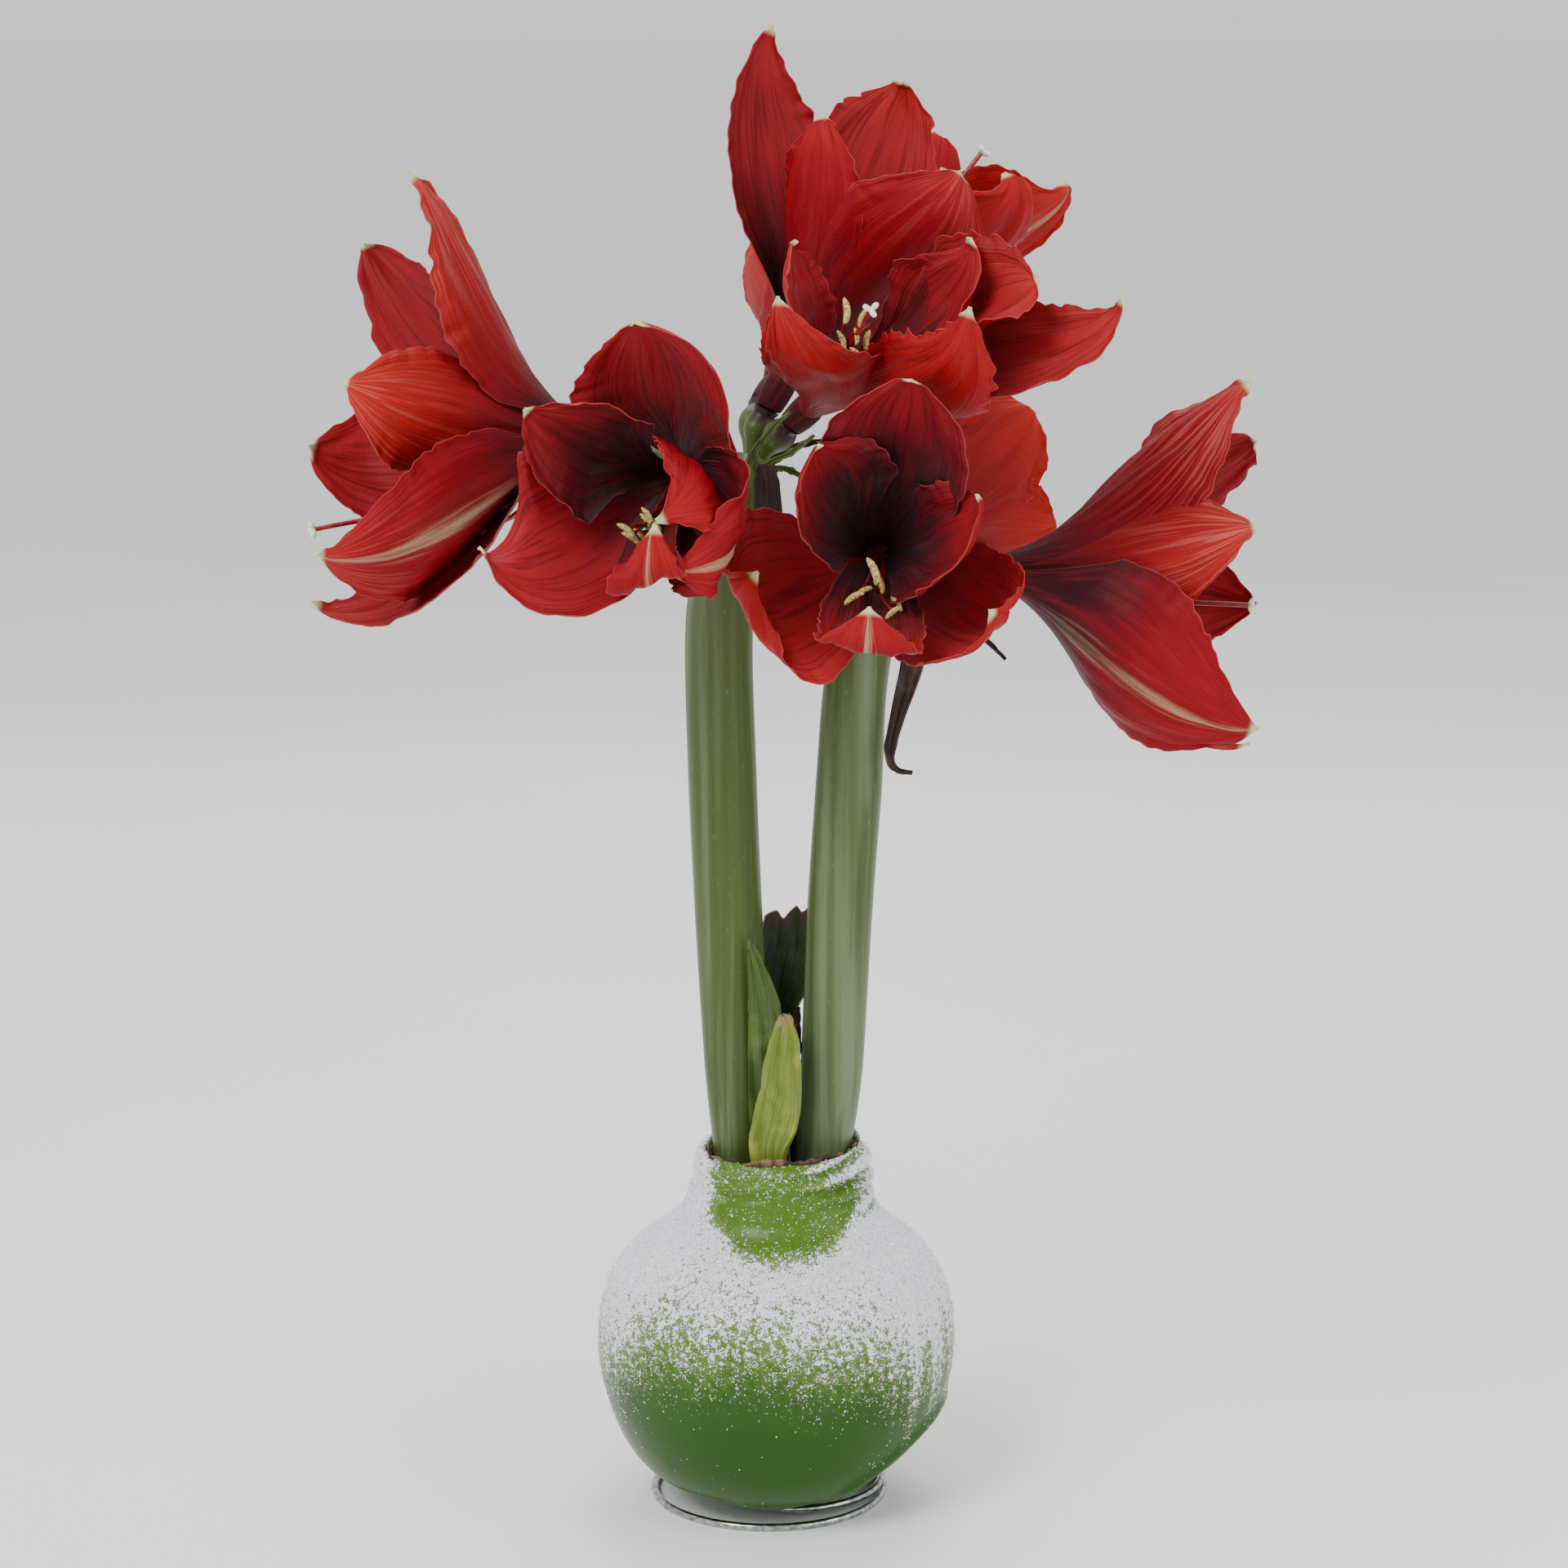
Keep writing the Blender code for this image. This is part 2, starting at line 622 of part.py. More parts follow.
def make_bulb(collection):
    """The bulb inside the wax: a solid body with a papery neck, and holes that hold the scapes."""
    inset = WAX + GAP
    base = WAX_PROFILE[0][1] + WAX + GAP
    rings = [profile_ring(inset, r, max(z, base)) for r, z in WAX_PROFILE[1:]]
    rings[0] = profile_ring(inset + LOWEST_INSET, WAX_PROFILE[1][0], base)
    rim = WAX_PROFILE[-1][1]
    rings.append(profile_ring(0, NECK_INSIDE + 0.6, rim + TUNIC_RISE, bump=0))
    rings.append(profile_ring(0, NECK_INSIDE, rim + TUNIC_RISE - 0.2, bump=0))
    rings.append(profile_ring(0, NECK_INSIDE, CUP_FLOOR, bump=0))
    mesh = skin("bulb_blank", rings)
    split_alike(mesh)
    cutters = [cylinder(WIRE_R + GAP, (BULB_X, BULB_Y, (SPIKE_TOP + GAP) / 2), SPIKE_TOP + GAP)]
    for scape in SCAPES.values():
        cutters.append(oval_tube("scape_hole", scape["path"][:3], GAP))
    mesh = cut(mesh, cutters, "bulb")
    smooth(mesh)
    return add_object("bulb", mesh, "bulb_tunic", collection)


def oval_tube(name, path, grow=0.0):
    """A smooth oval tube through places that each have a half width and a half depth."""
    middles = [vec(place) for place, width, depth in path]
    widths = [width + grow for place, width, depth in path]
    depths = [depth + grow for place, width, depth in path]
    rings = []
    for i in range(len(path)):
        t = i / (len(path) - 1)
        point, along = catmull(middles, t)
        if i == 0:
            point = point - along * (grow * MM)
        rings.append(ring_at(point, along, Vector((1, 0, 0)), widths[i] * MM, depths[i] * MM, SCAPE_SIDES))
    return skin(name, rings)


def bloom_axis(bloom):
    """The foot of a bloom's tube, and the direction in which its mouth faces."""
    foot = vec(bloom["foot"])
    tips = [vec(tepal[0]) for tepal in bloom["tepals"]]
    middle = sum(tips, Vector()) / len(tips)
    return foot, (middle - foot).normalized()


def stalk(umbel, bloom):
    """A short stalk that swells into the three-sided ovary behind a bloom."""
    foot, axis = bloom_axis(bloom)
    end = foot - axis * (GAP * MM)
    start = vec(umbel)
    reach = (end - start).length
    second = start + (end - start) * 0.25 + Vector((0, 0, reach * 0.12))
    third = end - axis * reach * 0.45
    rings = []
    for i in range(STALK_STEPS + 1):
        t = i / STALK_STEPS
        point, along = bezier(start, second, third, end, t)
        radius = (STALK_R + (OVARY_R - STALK_R) * bell(t, OVARY_SHARE, OVARY_WIDTH)) * MM
        if i == STALK_STEPS:
            along, radius = axis, TUBE_RINGS[0][1] * MM
        rings.append(ring_at(point, along, Vector((0.3, 1, 0.1)), radius, radius, STALK_SIDES))
    return skin("stalk", rings)


def make_scape(name, collection):
    scape = SCAPES[name]
    core = oval_tube(name, scape["path"])
    pieces = [stalk(scape["umbel"], BLOOMS[bloom]) for bloom in scape["blooms"]]
    pieces += [strap(places) for places in scape["straps"]]
    mesh = union(name, core, pieces)
    smooth(mesh)
    return add_object(name, mesh, "stem_green", collection)


def half_width(t, greatest):
    """A tepal's half width in millimetres at share t of its length: narrow foot, wide middle, tip."""
    if t < FULLEST:
        s = t / FULLEST
        return TUBE_R + (greatest - TUBE_R) * (3 * s ** 2 - 2 * s ** 3) ** 0.9
    s = (t - FULLEST) / (1 - FULLEST)
    return TIP_HALF + (greatest - TIP_HALF) * max(0.0, 1 - s ** 2.1) ** 0.9


def tepal_rows(bloom, index, rows, cols):
    """A grid of points over a tepal, from its foot to its tip."""
    foot, axis = bloom_axis(bloom)
    tip, via, greatest, roll, skew = bloom["tepals"][index]
    tip, via = vec(tip), vec(via)
    outward = (via - foot) - axis * (via - foot).dot(axis)
    outward.normalize()
    inner = index % 2
    start = foot + axis * (3 * MM) + outward * ((TUBE_R - 1.6 - 0.9 * inner) * MM)
    first = start + axis * ((via - start).length * 0.5)
    second = (via - start * 0.064 - first * 0.288 - tip * 0.216) / 0.432
    grid = []
    for i in range(rows + 1):
        t = i / rows
        point, along = bezier(start, first, second, tip, t)
        side = axis.cross(outward)
        side = (side - along * side.dot(along)).normalized()
        opened = min(1.0, t / 0.6)
        turn = math.radians(roll) * opened * opened * (3 - 2 * opened)
        side = Matrix.Rotation(turn, 3, along) @ side
        inward = along.cross(side)
        from_axis = (point - foot) - axis * (point - foot).dot(axis)
        half = min(half_width(t, greatest) * MM, from_axis.length * (SHARE + opened ** 3))
        radius = max(from_axis.length * 1.05, half * (1 + abs(skew)) / WRAP)
        row = []
        for j in range(cols + 1):
            across = -1 + 2 * j / cols
            angle = across * (1 + skew * across) * half / radius
            row.append(point + side * (math.sin(angle) * radius)
                       + inward * ((1 - math.cos(angle)) * radius))
        grid.append(row)
    return grid


def rod(start, bend, end, radius):
    rings = []
    for t in (0.0, 0.5, 1.0):
        point, along = catmull([start, bend, end], t)
        rings.append(ring_at(point, along, Vector((0.2, 0.3, 1)), radius * MM, radius * MM, STAMEN_SIDES))
    return skin("rod", rings)


def spindle(middle, along, half, radius):
    """A short body that is thick in its middle and thin at both ends."""
    rings = []
    for share, size in ((-1, 0.4), (0, 1.0), (1, 0.4)):
        place = middle + along * (share * half * MM)
        rings.append(ring_at(place, along, Vector((0.2, 0.3, 1)), radius * size * MM,
                             radius * size * MM, STAMEN_SIDES))
    return skin("spindle", rings)


def stamen_parts(bloom):
    """Six filaments with their anthers, and the style with its three-lobed stigma."""
    foot, axis = bloom_axis(bloom)
    middle = vec(bloom["anthers"])
    ahead = (middle - foot).normalized()
    right = ahead.cross(Vector((0, 0, 1))).normalized()
    up = right.cross(ahead)
    root = foot + axis * (FILAMENT_START * MM)
    parts = []
    for k in range(6):
        turn = math.tau * (k + 0.25) / 6
        spread = right * math.cos(turn) + up * math.sin(turn)
        bend = foot.lerp(middle, 0.6) + spread * (FILAMENT_BEND * MM) - up * (3 * MM)
        stagger = -ANTHER_STAGGER if k % 2 else ANTHER_STAGGER
        end = middle + spread * (ANTHER_RING * MM) + ahead * (stagger * MM)
        parts.append(rod(root + spread * (FILAMENT_RING * MM), bend, end, FILAMENT_R))
        lean = (spread * 0.8 + up * 0.5 + ahead * 0.3).normalized()
        parts.append(spindle(end, lean, ANTHER_HALF, ANTHER_R))
    tip = vec(bloom["stigma"])
    bend = foot.lerp(tip, 0.6) - up * (2 * MM)
    parts.append(rod(root, bend, tip, STYLE_R))
    ahead = (tip - bend).normalized()
    side = ahead.cross(Vector((0.3, 0.2, 1))).normalized()
    for k in range(3):
        lobe = Matrix.Rotation(math.tau * k / 3, 3, ahead) @ side
        lean = (lobe + ahead * 0.4).normalized()
        parts.append(spindle(tip + lobe * (LOBE_RING * MM), lean, LOBE_HALF, LOBE_R))
    return parts


def make_bloom(name, collection):
    bloom = BLOOMS[name]
    foot, axis = bloom_axis(bloom)
    hint = Vector((0.3, 0.2, 1))
    core = skin(name, [
        ring_at(foot + axis * (distance * MM), axis, hint, radius * MM, radius * MM, TUBE_SIDES)
        for distance, radius in TUBE_RINGS
    ])
    pieces = []
    for index in range(len(bloom["tepals"])):
        cols = INNER_COLS if index % 2 else OUTER_COLS
        rows = tepal_rows(bloom, index, TEPAL_ROWS, cols)
        pieces.append(sheet_solid(f"tepal_{index}", rows, PETAL_THICK * MM))
    pieces += stamen_parts(bloom)
    mesh = union(name, core, pieces)
    smooth(mesh)
    return add_object(name, mesh, "petal_red", collection)


def blend(values, t):
    """A value at share t of a list, eased between its neighbours."""
    last = len(values) - 1
    k = min(int(t * last), last - 1)
    share = t * last - k
    share = share * share * (3 - 2 * share)
    return values[k] + (values[k + 1] - values[k]) * share


def blade_rows(path, facing, cup, steps, cols):
    """A grid of points over a leaf, bract or strap, from its foot to its tip."""
    middles = [vec(place) for place, half, turn in path]
    halves = [half for place, half, turn in path]
    turns = [math.radians(turn) for place, half, turn in path]
    facing = Vector(facing).normalized()
    grid = []
    for i in range(steps + 1):
        t = i / steps
        point, along = catmull(middles, t)
        half = blend(halves, t)
        front = (facing - along * facing.dot(along)).normalized()
        front = Matrix.Rotation(blend(turns, t), 3, along) @ front
        side = along.cross(front)
        row = []
        for j in range(cols + 1):
            across = -1 + 2 * j / cols
            lift = cup * half * across * across
            row.append(point + side * (across * half * MM) + front * (lift * MM))
        grid.append(row)
    return grid


def strap(places):
    """A thin flat strap that ends in a narrow tip."""
    last = len(places) - 1
    path = [(place, STRAP_HALF * (1 - 0.7 * k / last), 0) for k, place in enumerate(places)]
    rows = blade_rows(path, (0, -1, 0.4), 0.0, last + 1, 1)
    return sheet_solid("strap", rows, STRAP_THICK * MM)


def make_blade(name, collection):
    blade = BLADES[name]
    path = blade["path"]
    rows = blade_rows(path, blade["facing"], blade["cup"], 2 * (len(path) - 1), 2)
    mesh = sheet_solid(name, rows, blade["thick"] * MM)
    smooth(mesh)
    return add_object(name, mesh, blade["colour"], collection)


def main():
    for obj in list(bpy.data.objects):
        bpy.data.objects.remove(obj, do_unlink=True)
    parts = bpy.data.collections.new("waxed_amaryllis_bulb")
    bpy.context.scene.collection.children.link(parts)
    make_wire(parts)
    make_wax(parts)
    make_bulb(parts)
    for name in SCAPES:
        make_scape(name, parts)
    for name in BLOOMS:
        make_bloom(name, parts)
    for name in BLADES:
        make_blade(name, parts)


main()
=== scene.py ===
import math
import bpy
import numpy as np
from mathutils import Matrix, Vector, noise

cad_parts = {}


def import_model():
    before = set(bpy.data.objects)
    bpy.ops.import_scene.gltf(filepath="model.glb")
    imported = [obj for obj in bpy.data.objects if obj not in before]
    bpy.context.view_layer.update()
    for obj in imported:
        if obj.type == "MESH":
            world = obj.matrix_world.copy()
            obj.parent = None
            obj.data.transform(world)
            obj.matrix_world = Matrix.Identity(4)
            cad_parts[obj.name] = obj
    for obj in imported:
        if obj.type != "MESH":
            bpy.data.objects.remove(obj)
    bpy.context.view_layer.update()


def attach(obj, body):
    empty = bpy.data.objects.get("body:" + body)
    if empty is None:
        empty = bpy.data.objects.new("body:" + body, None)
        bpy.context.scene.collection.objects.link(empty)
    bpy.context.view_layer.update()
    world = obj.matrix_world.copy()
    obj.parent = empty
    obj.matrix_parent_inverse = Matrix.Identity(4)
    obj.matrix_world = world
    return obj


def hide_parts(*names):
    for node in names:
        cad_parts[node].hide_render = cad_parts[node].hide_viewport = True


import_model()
bpy.ops.object.select_all(action="DESELECT")  # the load leaves the CAD nodes selected

mm = 0.001
middle = (0.5, -0.7, 0.0)  # the place in the tables, in millimetres, that stands at the world's origin


def numbers(values):
    return np.array(values, dtype=float)


def world(places):
    return (numbers(places) - middle) * mm


def smoothStep(low, high, value):
    share = np.clip((value - low) / (high - low), 0.0, 1.0)
    return share * share * (3 - 2 * share)


def bell(value, centre, width):
    return np.exp(-((value - centre) / width) ** 2)


def wobble(value, knots, seed):  # a smooth random curve between -1 and 1 for a value from 0 to 1
    levels = np.random.default_rng(seed).uniform(-1, 1, knots + 2)
    place = np.clip(value, 0, 1) * knots
    step = np.minimum(place.astype(int), knots - 1)
    share = smoothStep(0, 1, place - step)
    return levels[step] * (1 - share) + levels[step + 1] * share


def teeth(value, knots, seed):  # the same with straight flanks
    levels = np.random.default_rng(seed).uniform(-1, 1, knots + 1)
    return np.interp(value, np.linspace(0, 1, knots + 1), levels)


def unit(vectors):
    vectors = numbers(vectors)
    return vectors / np.linalg.norm(vectors, axis=-1, keepdims=True)


def around(angle, radius, height, x=0.0, y=0.0):  # places round an upright line through x and y
    return np.stack([x + radius * np.cos(angle), y + radius * np.sin(angle), height], axis=1)


def outlineAt(outline, v):  # the radius and the height at each share of an outline
    knots = np.linspace(0, 1, len(outline))
    return [np.interp(v, knots, column) for column in zip(*outline)]


def swing(start, first, second, end, share):  # leaves start for first, reaches end from second
    t, s = share[:, None], 1 - share[:, None]
    return start * s ** 3 + first * (3 * s * s * t) + second * (3 * s * t * t) + end * t ** 3


# Materials


def hexColour(code):
    channels = [int(code[k:k + 2], 16) / 255 for k in (1, 3, 5)]
    return tuple(c / 12.92 if c <= 0.04045 else ((c + 0.055) / 1.055) ** 2.4 for c in channels) + (1.0,)


def addNode(tree, kind, inputs, **settings):  # an input is a socket to link, a number or a colour in hex
    node = tree.nodes.new("ShaderNode" + kind)
    for name, value in settings.items():
        setattr(node, name, value)
    for name, value in inputs.items():
        if isinstance(value, bpy.types.NodeSocket):
            tree.links.new(value, node.inputs[name])
        else:
            node.inputs[name].default_value = hexColour(value) if isinstance(value, str) else value
    return node.outputs


def newMaterial(name, settings):  # with its tree, its shader and the place in the piece
    made = bpy.data.materials.new(name)
    made.use_nodes = True
    shader = made.node_tree.nodes["Principled BSDF"]
    for key, value in settings.items():
        shader.inputs[key].default_value = value
    return made, made.node_tree, shader, addNode(made.node_tree, "TexCoord", {})["Object"]


def paintOver(tree, colour, coats):  # lays colours on, more of each as its mask goes from low to high
    for mask, low, high, most, over in coats:
        share = addNode(tree, "MapRange", {0: mask, 1: low, 2: high, 4: most},
                        interpolation_type="SMOOTHSTEP")
        colour = addNode(tree, "Mix", {0: share[0], 6: colour, 7: over}, data_type="RGBA")[2]
    return colour


def drawnGrain(tree, place, stretch, detail, shift=(0, 0, 0)):  # noise drawn out; stretch is grains a metre
    drawn = addNode(tree, "VectorMath", {0: place, 1: stretch, 2: shift}, operation="MULTIPLY_ADD")
    return addNode(tree, "TexNoise", {"Vector": drawn[0], "Scale": 1.0, "Detail": detail})["Fac"]


def finishSkin(tree, shader, colour, reliefs):  # a relief is its height, its strength and its depth in mm
    tree.links.new(colour, shader.inputs["Base Color"])
    below = {}
    for height, strength, depth in reliefs:
        settings = {"Height": height, "Strength": strength, "Distance": depth * mm, **below}
        below = {"Normal": addNode(tree, "Bump", settings)[0]}
    tree.links.new(below["Normal"], shader.inputs["Normal"])


petalLook = {
    # the inside throat is the tissue's dark colour, lifted grey as painted flare light
    "petalInside": {"throat": "#38292B", "deep": "#4A1A1F", "main": "#861A21", "lip": "#9E2328",
                    "veins": 0.45},
    "petalOutside": {"throat": "#3A161C", "deep": "#6E101A", "main": "#840F19", "lip": "#9A181D",
                     "veins": 0.15},
    # the warm orange-red is a painted glow where light shines through a tepal
    "vein": "#3A0A12", "mottle": "#A61E22", "shade": "#5E0C16", "warm": "#C43020",
    "sheenAndLineTone": "#C9746A",  # pale pink lines near the tips, with painted sheen laid on them
    "stripe": "#ADAA86",  # the pale midrib
    "rim": "#C7665E", "tip": "#D9DBA8",
    "veinsAcross": 46.0,  # about one a millimetre on a petal 45 mm wide
}
petalTraits = ("stripe", "blush", "glow", "dark")  # what differs from tepal to tepal


def makePetalSkin(name):  # living petal: thin juicy tissue with raised veins, so satin and streaky, with a painted glow of light shining through and painted sheen near the tips
    look = petalLook[name]
    skin, tree, shader, solid = newMaterial(name, {
        "Roughness": 0.45, "IOR": 1.22, "Specular IOR Level": 0.3,
        "Subsurface Weight": 0.05, "Subsurface Scale": 0.003, "Subsurface Radius": (1.0, 0.1, 0.05)})
    place = addNode(tree, "UVMap", {}, uv_map="UVMap")[0]
    stripe, blush, glow, dark, seed = [addNode(tree, "Attribute", {}, attribute_name=trait)["Fac"]
                                       for trait in petalTraits + ("seed",)]
    across, along = addNode(tree, "SeparateXYZ", {0: place})[:2]
    shift = addNode(tree, "CombineXYZ", {2: seed})[0]
    veins = drawnGrain(tree, place, (petalLook["veinsAcross"], 3.2, 0), 3.0, shift)
    folds = drawnGrain(tree, place, (11.0, 2.2, 0), 3.0, shift)
    mottle = drawnGrain(tree, place, (19.0, 7.0, 0), 4.0, shift)
    crepe = drawnGrain(tree, solid, (1100, 1100, 1100), 3.0)
    reach = addNode(tree, "Math", {0: folds, 1: 0.3, 2: along}, operation="MULTIPLY_ADD")[0]
    # painted shade and light: a tepal in shade gets more of the throat's dark, a lit tepal less
    reach = addNode(tree, "Math", {0: reach, 1: dark}, operation="SUBTRACT")[0]
    # painted glow: more of the warm orange-red towards the tip of a tepal that light shines through
    paintedGlowShare = addNode(tree, "Math", {0: glow, 1: along}, operation="MULTIPLY")[0]
    colour = paintOver(tree, look["throat"], [
        (reach, 0.36, 0.62, 1.0, look["deep"]), (reach, 0.5, 0.84, 1.0, look["main"]),
        (reach, 0.9, 1.14, 1.0, look["lip"]), (paintedGlowShare, 0.05, 0.8, 1.0, petalLook["warm"]),
        (folds, 0.5, 0.72, 0.35, petalLook["shade"]), (mottle, 0.45, 0.75, 0.25, petalLook["mottle"]),
        (veins, 0.5, 0.66, look["veins"], petalLook["vein"])])
    offset = addNode(tree, "Math", {0: across, 1: 0.5}, operation="SUBTRACT")[0]
    centre = addNode(tree, "Math", {0: offset}, operation="ABSOLUTE")[0]
    if name == "petalOutside":
        # the pale lines near the tips, and painted sheen on them
        sheenAndLineMask = addNode(tree, "MapRange", {0: veins, 1: 0.42, 2: 0.6, 3: 1.0, 4: 0.0})[0]
        for factor in (blush, along):
            sheenAndLineMask = addNode(tree, "Math", {0: sheenAndLineMask, 1: factor}, operation="MULTIPLY")[0]
        ragged = addNode(tree, "Math", {0: veins, 1: 0.2, 2: centre}, operation="MULTIPLY_ADD")[0]
        band = addNode(tree, "MapRange", {0: ragged, 1: 0.06, 2: 0.155, 3: 1.0, 4: 0.0})[0]
        faded = addNode(tree, "MapRange", {0: along, 1: 0.16, 2: 0.45})[0]
        for factor in (stripe, faded):
            band = addNode(tree, "Math", {0: band, 1: factor}, operation="MULTIPLY")[0]
        colour = paintOver(tree, colour, [(sheenAndLineMask, 0.3, 1.0, 0.6, petalLook["sheenAndLineTone"]),
                                          (band, 0.0, 0.8, 0.62, petalLook["stripe"])])
    colour = paintOver(tree, colour, [(centre, 0.486, 0.5, 0.22, petalLook["rim"]),
                                      (along, 0.965, 0.99, 1.0, petalLook["tip"])])
    finishSkin(tree, shader, colour, [(veins, 0.75, 0.5), (crepe, 0.5, 0.25)])
    return skin


stemLook = {"low": "#3D4D1A", "high": "#4A5926", "powder": "#717F5F", "dark": "#2B3713",
            "stalk": "#4C5B25", "tubeEnd": "#2E181D"}


def makeStemSkin():  # juicy stem: smooth skin under a powdery blue-grey wax that lies in long soft stripes
    skin, tree, shader, solid = newMaterial("stemSkin", {
        "Roughness": 0.42, "Specular IOR Level": 0.3, "Subsurface Weight": 0.05,
        "Subsurface Scale": 0.004, "Subsurface Radius": (0.5, 1.0, 0.2)})
    ripe = addNode(tree, "Attribute", {}, attribute_name="ripe")["Fac"]
    height = addNode(tree, "SeparateXYZ", {0: solid})[2]
    fine = drawnGrain(tree, solid, (700, 700, 12), 3.0)
    stripes = drawnGrain(tree, solid, (260, 260, 5), 3.0)
    broad = drawnGrain(tree, solid, (75, 75, 3), 2.0)
    speckle = drawnGrain(tree, solid, (900, 900, 300), 3.0)
    colour = paintOver(tree, stemLook["low"], [
        (height, 0.11, 0.32, 1.0, stemLook["high"]), (broad, 0.48, 0.68, 0.7, stemLook["powder"]),
        (stripes, 0.5, 0.68, 0.4, stemLook["powder"]), (stripes, 0.48, 0.34, 0.35, stemLook["dark"]),
        (fine, 0.5, 0.7, 0.25, stemLook["dark"]), (speckle, 0.62, 0.75, 0.3, stemLook["powder"]),
        (ripe, 0.0, 0.4, 1.0, stemLook["stalk"]), (ripe, 0.7, 0.92, 1.0, stemLook["tubeEnd"])])
    finishSkin(tree, shader, colour, [(stripes, 0.3, 0.4), (fine, 0.3, 0.15)])
    return skin


leafLook = {
    "greenLeaf": {"base": "#43561F", "vein": "#2E3E15", "pale": "#5A6E34", "rough": 0.4,
                  "dry": "#5A4A30", "dryFrom": 1.05},  # the share of the length where the dry end starts
    "cutLeaf": {"base": "#2A371A", "vein": "#1A2310", "pale": "#41522A", "rough": 0.42,
                "dry": "#4A3626", "dryFrom": 0.98},
    "youngLeaf": {"base": "#728330", "vein": "#586B22", "pale": "#9AA03E", "rough": 0.42,
                  "dry": "#7A6A48", "dryFrom": 0.97},
    "dryBract": {"base": "#3B2A25", "vein": "#1E1411", "pale": "#6A5546", "rough": 0.65,
                 "dry": "#2A1C18", "dryFrom": 0.9},
}


def makeLeafSkin(name):  # leaf: parallel veins pressed into a waxy skin; a dry bract is dull and papery
    look = leafLook[name]
    skin, tree, shader, solid = newMaterial(name, {"Roughness": look["rough"], "Specular IOR Level": 0.3})
    place = addNode(tree, "UVMap", {}, uv_map="UVMap")[0]
    along = addNode(tree, "SeparateXYZ", {0: place})[1]
    veins = drawnGrain(tree, place, (24.0, 1.6, 0), 3.0)
    patches = drawnGrain(tree, solid, (120, 120, 90), 4.0)
    specks = drawnGrain(tree, solid, (700, 700, 500), 3.0)
    dryness = addNode(tree, "Math", {0: patches, 1: 0.16, 2: along}, operation="MULTIPLY_ADD")[0]
    colour = paintOver(tree, look["vein"], [
        (veins, 0.36, 0.62, 1.0, look["base"]), (patches, 0.48, 0.7, 0.6, look["pale"]),
        (specks, 0.6, 0.72, 0.4, look["vein"]),
        (dryness, look["dryFrom"], look["dryFrom"] + 0.08, 0.9, look["dry"])])
    finishSkin(tree, shader, colour, [(veins, 0.5, 0.4), (specks, 0.3, 0.2)])
    return skin


# flockShade and the flock's deepest tone are painted shade and painted shadow among the fibres
waxLook = {"low": "#234A06", "high": "#466B14", "haze": "#8FA44C",
           "flock": "#F8FAFF", "flockShade": "#D6DAE4", "flockGapShadow": "#98A69C"}


def makeWaxSkin():  # dipped wax: smooth and a little soft within; the flock on it is short matt white fibre
    skin, tree, shader, solid = newMaterial("dippedWax", {
        "Specular IOR Level": 0.22, "Subsurface Weight": 0.05,
        "Subsurface Scale": 0.003, "Subsurface Radius": (0.4, 1.0, 0.2)})
    amount = addNode(tree, "Attribute", {}, attribute_name="flock")["Fac"]
    height = addNode(tree, "SeparateXYZ", {0: solid})[2]
    cloud = drawnGrain(tree, solid, (40, 40, 40), 3.0)
    clumps = drawnGrain(tree, solid, (640, 640, 640), 4.0)
    tufts = drawnGrain(tree, solid, (2000, 2000, 2000), 3.0)
    lift = addNode(tree, "Math", {0: cloud, 1: 0.03, 2: height}, operation="MULTIPLY_ADD")[0]
    colour = paintOver(tree, waxLook["low"], [(lift, 0.05, 0.11, 1.0, waxLook["high"]),
                                              (amount, 0.05, 0.6, 0.45, waxLook["haze"])])
    spread = addNode(tree, "Mix", {0: 0.5, 2: clumps, 3: tufts})[0]
    level = addNode(tree, "Math", {0: spread, 1: 3.6, 2: amount}, operation="MULTIPLY_ADD")[0]
    there = addNode(tree, "MapRange", {0: amount, 1: 0.0, 2: 0.12})[0]
    cover = addNode(tree, "MapRange", {0: level, 1: 2.22, 2: 2.4, 4: there})[0]
    # painted shadow between the fibres, painted shade on the lower tufts, then the fibres' white
    white = paintOver(tree, waxLook["flockGapShadow"], [(tufts, 0.3, 0.4, 1.0, waxLook["flockShade"]),
                                                    (tufts, 0.4, 0.5, 1.0, waxLook["flock"])])
    colour = addNode(tree, "Mix", {0: cover, 6: colour, 7: white}, data_type="RGBA")[2]
    tree.links.new(addNode(tree, "MapRange", {0: cover, 3: 0.3, 4: 0.9})[0], shader.inputs["Roughness"])
    fluff = addNode(tree, "Math", {0: cover, 1: spread}, operation="MULTIPLY")[0]
    ripple = drawnGrain(tree, solid, (130, 130, 90), 2.0)
    finishSkin(tree, shader, colour, [(fluff, 1.0, 1.6), (ripple, 0.12, 0.6)])
    return skin


